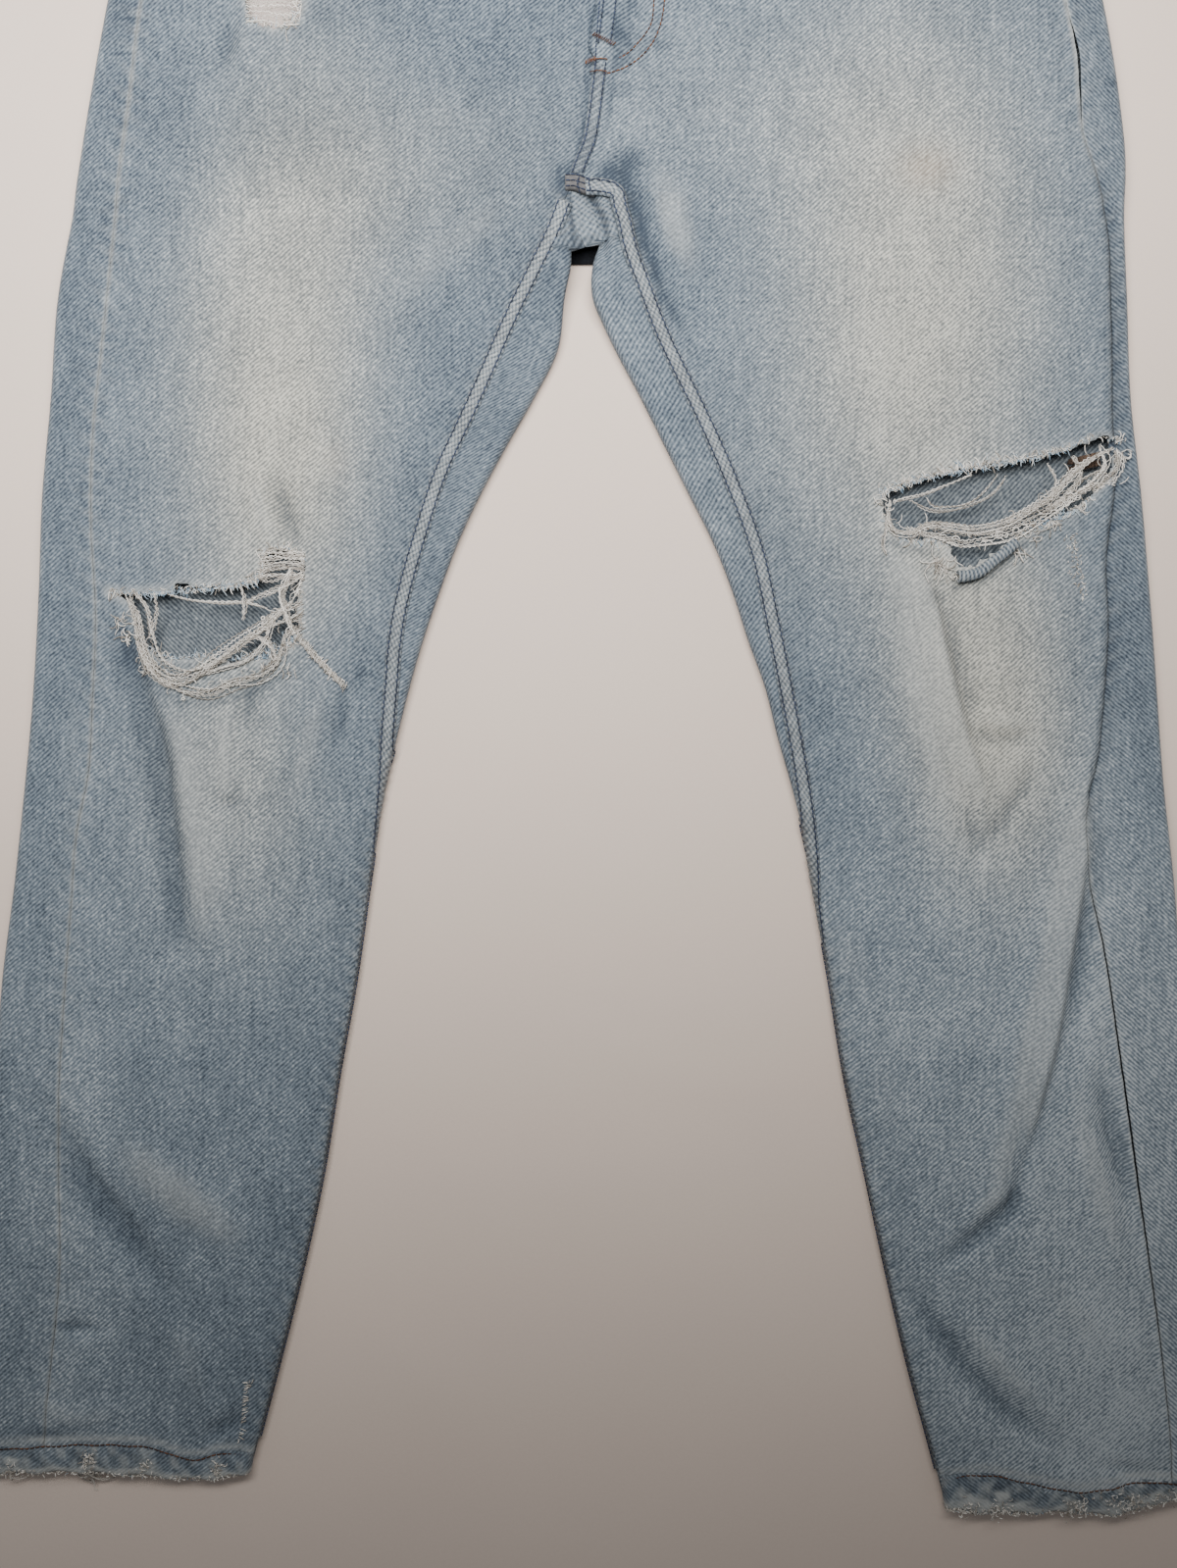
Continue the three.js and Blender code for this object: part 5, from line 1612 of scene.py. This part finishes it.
fringe(
    [(-192, 3), (-191, 13), (-184, 18), (-172, 16.5), (-167, 11)], UP - 0.3, 0.8, 3.2, blue=0.25,
    lift=0.3
)
fringe(
    [(-262, -26), (-257, -38), (-248, -43), (-228, -43), (-203, -45), (-184, -42), (-175, -37)], UP,
    0.9, 3.0, blue=0.55
)
fringe([(-204, -44), (-190, -42), (-176, -36), (-169, -30)], UP + 0.5, 0.7, 4.0, blue=0.7)
for row in (
    (-272, -22, LEFT + 0.5, 12, 7, 1.2, 2.2),
    (-270, -30, DOWN - 0.4, 9, 7, 0.9, 2.0),
    (-276, -4, LEFT, 8, 6, 0.5, 1.2),
    (-184, 18, UP, 10, 5, 0.9, 3.5),
    (-196, 2, DOWN - 0.3, 8, 6, 0.8, 1.6),
    (-178, -50, DOWN, 7, 5, 0.9, 2.4),
    (-259, -50, LEFT + 0.6, 7, 5, 0.8, 1.6),
):
    tuft(*row)
# the tail that runs on from its lower right corner
pale += strand_bundle(
    [(-171, -31), (-164, -39), (-156, -47.5), (-149, -54), (-145, -60)], 8, 1.3, seed=12, loose=0.5,
    lift=(0.2, 1.0)
)
for turn in (0.0, 2.1, 4.2):
    s = np.linspace(0, 1, 190)
    axis = spline([(-171, -31), (-164, -38), (-156, -48), (-149, -54), (-144, -61)], 190)
    round_by = math.tau * s * 12 + turn + 0.8 * np.sin(s * 23)
    size = 1.8 * (1 - 0.3 * s) * (1 + 0.3 * np.sin(s * 61))
    p = axis + np.outer(size * np.cos(round_by), [0.72, 0.69])
    pale.append(np.column_stack([p, both_tops(p[:, 0], p[:, 1]) + 1.1 + size * np.sin(round_by)]))
for s in np.linspace(0, 1, 70):
    x, y = mix(-171, -144, s), mix(-31, -60, s)
    x, y = x + rng.normal(0, 0.5), y + rng.normal(0, 0.5)
    way = DOWN - 0.5 + rng.normal(0, 0.5) + (math.pi if rng.random() < 0.5 else 0)
    stray(x, y, way, (1.8, 4.2), (1.5, 1.6))

# the left knee
LEFT_UPPER = [
    (168, 47), (166.5, 37), (170, 29), (179, 27), (191, 32), (202, 31), (216, 28.5), (233, 32),
    (248, 40), (261, 49), (272, 61), (282, 69), (297, 77),
]
LEFT_LOWER = [
    (178, 32), (186, 28.5), (196, 27), (208, 22.5), (222, 23.5), (238, 27), (253, 36), (267, 45),
    (282, 55), (298, 57),
]
pale += strand_bundle(LEFT_UPPER, 10, 2.3, seed=21, loose=1.2, lift=(0.3, 3.6))
pale += strand_bundle(LEFT_LOWER, 6, 2.2, seed=22, loose=1.6, lift=(0.3, 2.8))
for path in (RIGHT_UPPER, RIGHT_LOWER, LEFT_UPPER, LEFT_LOWER):
    for x, y in spline(path, 46):
        x, y = x + rng.normal(0, 2.0), y + rng.normal(0, 2.0)
        stray(x, y, rng.uniform(0, 6.3), (3, 9), (0, 3.5), lift=1.6, rise=1.4)
for path, count, spread, seed, loose in (
    ([(184, 33), (200, 29), (224, 27), (244, 33), (262, 43), (278, 58), (294, 66)], 4, 2.0, 23, 1.0),
    ([(170, 46), (187, 50), (202, 56), (215, 61.5)], 4, 0.8, 24, 0.4),
    ([(230, 62), (225, 55), (215, 46), (202, 43), (192, 44), (189, 49)], 3, 0.5, 25, 0.4),
    ([(235, 61), (228, 52), (212, 44), (192, 41), (179, 47)], 3, 0.6, 26, 0.5),
    ([(258, 68), (262, 58), (258, 48), (246, 40)], 5, 1.4, 27, 0.8),
    ([(272, 72), (276, 62), (270, 52), (258, 42)], 6, 1.8, 28, 1.0),
    ([(288, 79), (292, 70), (286, 58), (274, 50)], 7, 2.0, 29, 1.0),
    ([(298, 76), (300, 66), (293, 58), (284, 52)], 8, 2.2, 30, 1.0),
    ([(166, 38), (165, 28), (164, 20), (166, 15)], 4, 0.7, 31, 0.4),
):
    pale += strand_bundle(path, count, spread, seed=seed, loose=loose)
fringe(
    [(163, 51), (178, 57), (192, 61), (212, 65), (228, 68), (243, 70)], UP + 0.2, 0.75, 3.0, blue=0.2,
    lift=0.3
)
fringe([(163, 51), (178, 57), (192, 61), (212, 65), (243, 70), (272, 77)], DOWN, 0.5, 2.2, blue=0.7)
fringe([(243, 70), (272, 77), (290, 83.5), (301, 79)], UP, 0.8, 2.6, blue=0.3, lift=0.3)
fringe([(270, 40), (256, 33), (244, 28), (239, 24)], UP + 0.3, 0.8, 3.4, blue=0.6)
fringe([(284, 50), (270, 40), (256, 33)], DOWN + 0.2, 0.7, 4.0, blue=0.35, lift=0.5)
fringe([(165, 40), (170, 29), (180, 24.5), (192, 25), (202, 22)], DOWN, 0.9, 3.0, blue=0.35)
for row in (
    (198, 14, DOWN - 0.2, 16, 10, 0.5, 3.0),
    (197, 10, DOWN - 0.5, 12, 12, 0.35, 2.5),
    (206, 4, DOWN, 8, 4, 0.9, 1.6),
    (242, 20, DOWN + 0.3, 14, 9, 0.45, 2.4),
    (251, 28, DOWN + 0.2, 10, 6, 0.7, 2.6),
    (264, 33, DOWN, 9, 6, 0.8, 3.0),
    (166, 46, LEFT, 12, 6, 0.7, 2.4),
    (301, 74, DOWN + 0.5, 14, 9, 0.9, 2.6),
    (300, 82, UP, 9, 5, 0.7, 2.0),
):
    tuft(*row)
for s in np.linspace(0, 1, 60):
    x, y = mix(271, 280, s) + rng.normal(0, 2.3), mix(28, -9, s) + rng.normal(0, 1.2)
    stray(x, y, rng.uniform(0, 6.3), (1.2, 3.4), (2, 2), lift=0.05, rise=0.7)

# the tear on the thigh
for k in range(14):
    y0 = 339 - k * 1.55
    wave = rng.normal(0, 0.9, 2)
    path = [(-200, y0), (-190, y0 + wave[0]), (-180, y0 + wave[1]), (-169, y0 - 1)]
    pale += strand_bundle(path, 1, 0.1, seed=80 + k, loose=0.4, lift=(0.1, 0.8), ends=0)
fringe([(-171, 321), (-183, 316), (-196, 321)], UP, 0.8, 3.0, blue=0.3)
fringe([(-175, 340), (-168, 331), (-171, 321)], LEFT + 0.4, 0.8, 4.0, blue=0.2)
tuft(-176, 319, DOWN + 0.5, 9, 6, 0.7, 3.0)

# brown overlocking seen through the left knee's upper corner
loops_brown = []
for k in range(44):
    row, at = divmod(k, 22)
    x0, y0 = 272 + at * 0.8, 68.5 + 0.2 * at - 4.5 * row
    arch = 3.4 * np.sin(np.linspace(0, math.pi, 6))
    loops_brown.append(np.column_stack([np.linspace(x0, x0 + 2.2, 6), y0 + arch, np.full(6, 6.6)]))

# the hems
for leg, lo, hi in ((right, -352, -202), (left, 202, 352)):
    for x0 in np.arange(lo, hi, 0.7):
        y0 = float(HEM_EDGE[leg.name](x0)) + 0.8
        if rng.random() < 0.5:
            stray(x0, y0 + rng.uniform(0, 2.5), rng.uniform(0, 6.3), (1, 2.6), (0, 2), lift=1.7, rise=0.2)
        if rng.random() < (0.9 if leg is left else 0.7):
            x1, way = x0 + rng.normal(0, 0.6), DOWN + rng.normal(0, 0.9)
            w = whisker(x1, y0, way, rng.uniform(1.0, 2.8), rng.normal(0, 2), rise=0.2)
            w[:, 2] = mix(10.5, 7.0, np.linspace(0, 1, len(w))) + rng.normal(0, 0.5)
            (pale if rng.random() < 0.75 else fuzz).append(w)


def hang(x, y, heading, length, count, spread, z=9.5, width=1.6):
    """Loose ends that start at the height z on a hem and hang over its edge to the table."""
    for _ in range(count):
        x1, y1 = x + rng.normal(0, width), y + rng.normal(0, 1.0)
        way, size = heading + rng.normal(0, spread), length * rng.uniform(0.35, 1.25)
        w = whisker(x1, y1, way, size, rng.normal(0, 1.8), rise=0)
        fall = np.linspace(0, 1, len(w)) ** 0.7 * (z - 1.2)
        w[:, 2] = np.maximum(z + 0.3 - fall, 0.7) + rng.normal(0, 0.25)
        pale.append(w)


for row in (
    (-290, -510, DOWN, 15, 30, 0.38, 10.5),
    (-288, -502, DOWN, 10, 14, 0.25, 11, 1.2),
    (-258, -507, DOWN, 5, 10, 0.5, 11),
    (-217, -510, DOWN, 8, 22, 0.5, 11),
    (-336, -511, DOWN - 0.2, 9, 22, 0.6, 10.5),
    (-206, -511, DOWN + 0.3, 4, 8, 0.6),
    (278, -531, DOWN + 0.2, 7, 44, 0.7, 10.5, 5.0),
    (264, -530, DOWN, 4, 10, 0.7, 9.5, 3),
    (312, -528, DOWN + 0.2, 7, 44, 0.8, 10.5, 6.0),
    (207, -532, DOWN, 4, 24, 0.8, 10.5, 3.0),
    (238, -533, DOWN, 3.5, 24, 0.8, 10.5, 6),
):
    hang(*row)
# tufts on the turned edge
for x0, y0, n, wide in (
    (-290, -501, 40, 2.0), (-258, -506, 16, 2.5), (-217, -507, 24, 2.0), (-336, -508, 14, 3.0),
    (213, -530, 24, 3.5), (234, -531, 40, 6.0), (274, -529, 60, 4.0), (306, -526, 90, 8.0),
    (330, -523, 24, 4.0),
):
    for _ in range(n):
        x1, y1 = x0 + rng.normal(0, wide), y0 + rng.normal(0, 2.6)
        stray(x1, y1, rng.uniform(0, 6.3), (1.5, 3.6), (2, 2), lift=2.3, rise=0.5)
# ladder tear above the right hem
for k in range(22):
    s = k / 21
    x0, y0 = mix(-200, -203.5, s), mix(-461, -492, s)
    stray(x0 - 2.0, y0 + rng.normal(0, 0.3), rng.normal(0.1, 0.3), (2.6, 4.4), (0, 0.8), lift=0.2, rise=0.5)
tuft(-200, -460, UP, 7, 4, 0.8, 1.6)


def by_side(paths):
    """The right leg's yarns and the left leg's."""
    groups = {"right": [], "left": []}
    for p in paths:
        if len(p) > 2:
            groups["right" if p[:, 0].mean() < 0 else "left"].append(p)
    return groups


yarns = {}
for kind, made, thin, fat, material in (
    ("loose_yarns", pale, 0.2, 0.36, M_THREAD), ("blue_fuzz", fuzz, 0.16, 0.26, M_FUZZ),
):
    for side, group in by_side(made).items():
        radii = rng.uniform(thin, fat, len(group))
        yarns[kind, side] = tubes(f"{kind}_{side}", group, radii, material)
navy_ob = tubes("navy_stitches", navy, 0.38, M_STITCH, taper=False)
rust_ob = tubes("brown_stitches", rust, 0.36, M_RUST, taper=False)
tacks = tubes("bar_tacks", tack_paths, 0.5, M_RUST, taper=False)
overlock = tubes("overlock_loops", loops_brown, 0.42, M_OVERLOCK, taper=False)

# ------------------------------------------------------------------ the button and the zip

zip_node, button_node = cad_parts["zip"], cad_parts["waist_button"]
for node, material in ((zip_node, M_BRASS), (button_node, M_BUTTON)):
    node.data.materials.clear()
    node.data.materials.append(material)

# ------------------------------------------------------------------ the surface it lies on


def table_cloth():
    n = 200
    x = np.linspace(-900, 900, n)[None, :] + np.zeros((n, 1))
    y = np.linspace(1100, -1300, n)[:, None] + np.zeros((1, n))
    z = -0.75 + 0.35 * waves(x, y, 420, 61)
    for path, rise, width in (
        ([(-36, -240), (40, -282), (110, -291), (136, -286)], 0.9, 9),
        ([(-60, -196), (20, -238), (90, -252)], 0.5, 12),
        ([(-150, -420), (-90, -470), (-60, -520)], 0.5, 14),
        ([(-140, -330), (-40, -345), (90, -335)], 0.4, 16),
    ):
        away, share = to_path(x, y, spline(path, 14))
        z = z + rise * bell(away, width) * np.sin(math.pi * np.clip(share, 0.05, 0.95))
    z = np.minimum(z, -0.02)
    bm = bmesh.new()
    bmesh.ops.create_grid(bm, x_segments=n - 1, y_segments=n - 1, size=0.5)
    for vert in bm.verts:
        j = round((vert.co.x + 0.5) * (n - 1))
        i = round((0.5 - vert.co.y) * (n - 1))
        vert.co = (x[i, j] * MM, y[i, j] * MM, z[i, j] * MM)
    mesh = bpy.data.meshes.new("surface")
    bm.to_mesh(mesh)
    bm.free()
    for poly in mesh.polygons:
        poly.use_smooth = True
    m, t, bsdf = nodes_of("table_cloth")
    at = put(t, "ShaderNodeTexCoord").outputs["Object"]
    n1 = noise(t, at, 3.0, 4.0)
    n2 = noise(t, at, 700.0, 2.0)
    both = add(t, times(t, n1, 0.7), times(t, n2, 0.3))
    colour = ramp(t, both, [(0.3, (0.78, 0.64, 0.545)), (0.7, (0.83, 0.69, 0.585))])
    finish(t, bsdf, colour, Roughness=0.95, Specular_IOR_Level=0.1)
    bump = put(t, "ShaderNodeBump", {"Height": n2, "Strength": 0.15, "Distance": 0.0003})
    t.links.new(bump.outputs[0], bsdf.inputs["Normal"])
    mesh.materials.append(m)
    ob = bpy.data.objects.new("surface", mesh)
    bpy.context.scene.collection.objects.link(ob)


table_cloth()

# ------------------------------------------------------------------ each sheet's cut area, worked out and not kept

HOLE_AREA = {"right": 0.0052, "left": 0.0040}  # square metres

for leg in LEGS:
    front_with = [yarns["loose_yarns", leg.name], yarns["blue_fuzz", leg.name]]
    if leg is left:
        front_with += [navy_ob, rust_ob, tacks, overlock, cross, fly_edge]
    declare(FRONTS[leg.name], FRONT_POINTS[leg.name], front_with, lost=HOLE_AREA[leg.name])
    declare(
        BACKS[leg.name], BACK_POINTS[leg.name],
        [STRIPS[leg.name]] + ([seat_fold] if leg is right else [])
    )
    for made in (seam_objects, hem_obs, yokes):
        declare(*made[leg.name])
for ob, P in [(rise, P_RISE), (band, P_BAND), (roll, P_ROLL)] + loop_obs + pieces:
    declare(ob, P)


# ------------------------------------------------------------------ light and camera

data = bpy.data.lights.new("window", "AREA")
data.shape, data.size, data.size_y = "RECTANGLE", 0.88, 0.9
data.energy, data.color = 26.7, (1.0, 1.0, 1.0)
lamp = bpy.data.objects.new("window", data)
lamp.location = (-0.092, 0.384, 0.877)
aim = Vector((-0.189, 0.977, 0.0)) - lamp.location
lamp.rotation_euler = aim.to_track_quat("-Z", "Y").to_euler()
bpy.context.scene.collection.objects.link(lamp)
world = bpy.data.worlds.new("room_light")
bpy.context.scene.world = world
world.use_nodes = True
world.node_tree.nodes["Background"].inputs[0].default_value = (0.9, 0.94, 1.0, 1)
world.node_tree.nodes["Background"].inputs[1].default_value = 0.156

cam_data = bpy.data.cameras.new("camera")
cam_data.lens = 27.04
cam = bpy.data.objects.new("camera", cam_data)
cam.location = (-0.0043, -0.1155, 0.686)
bpy.context.scene.collection.objects.link(cam)
bpy.context.scene.camera = cam
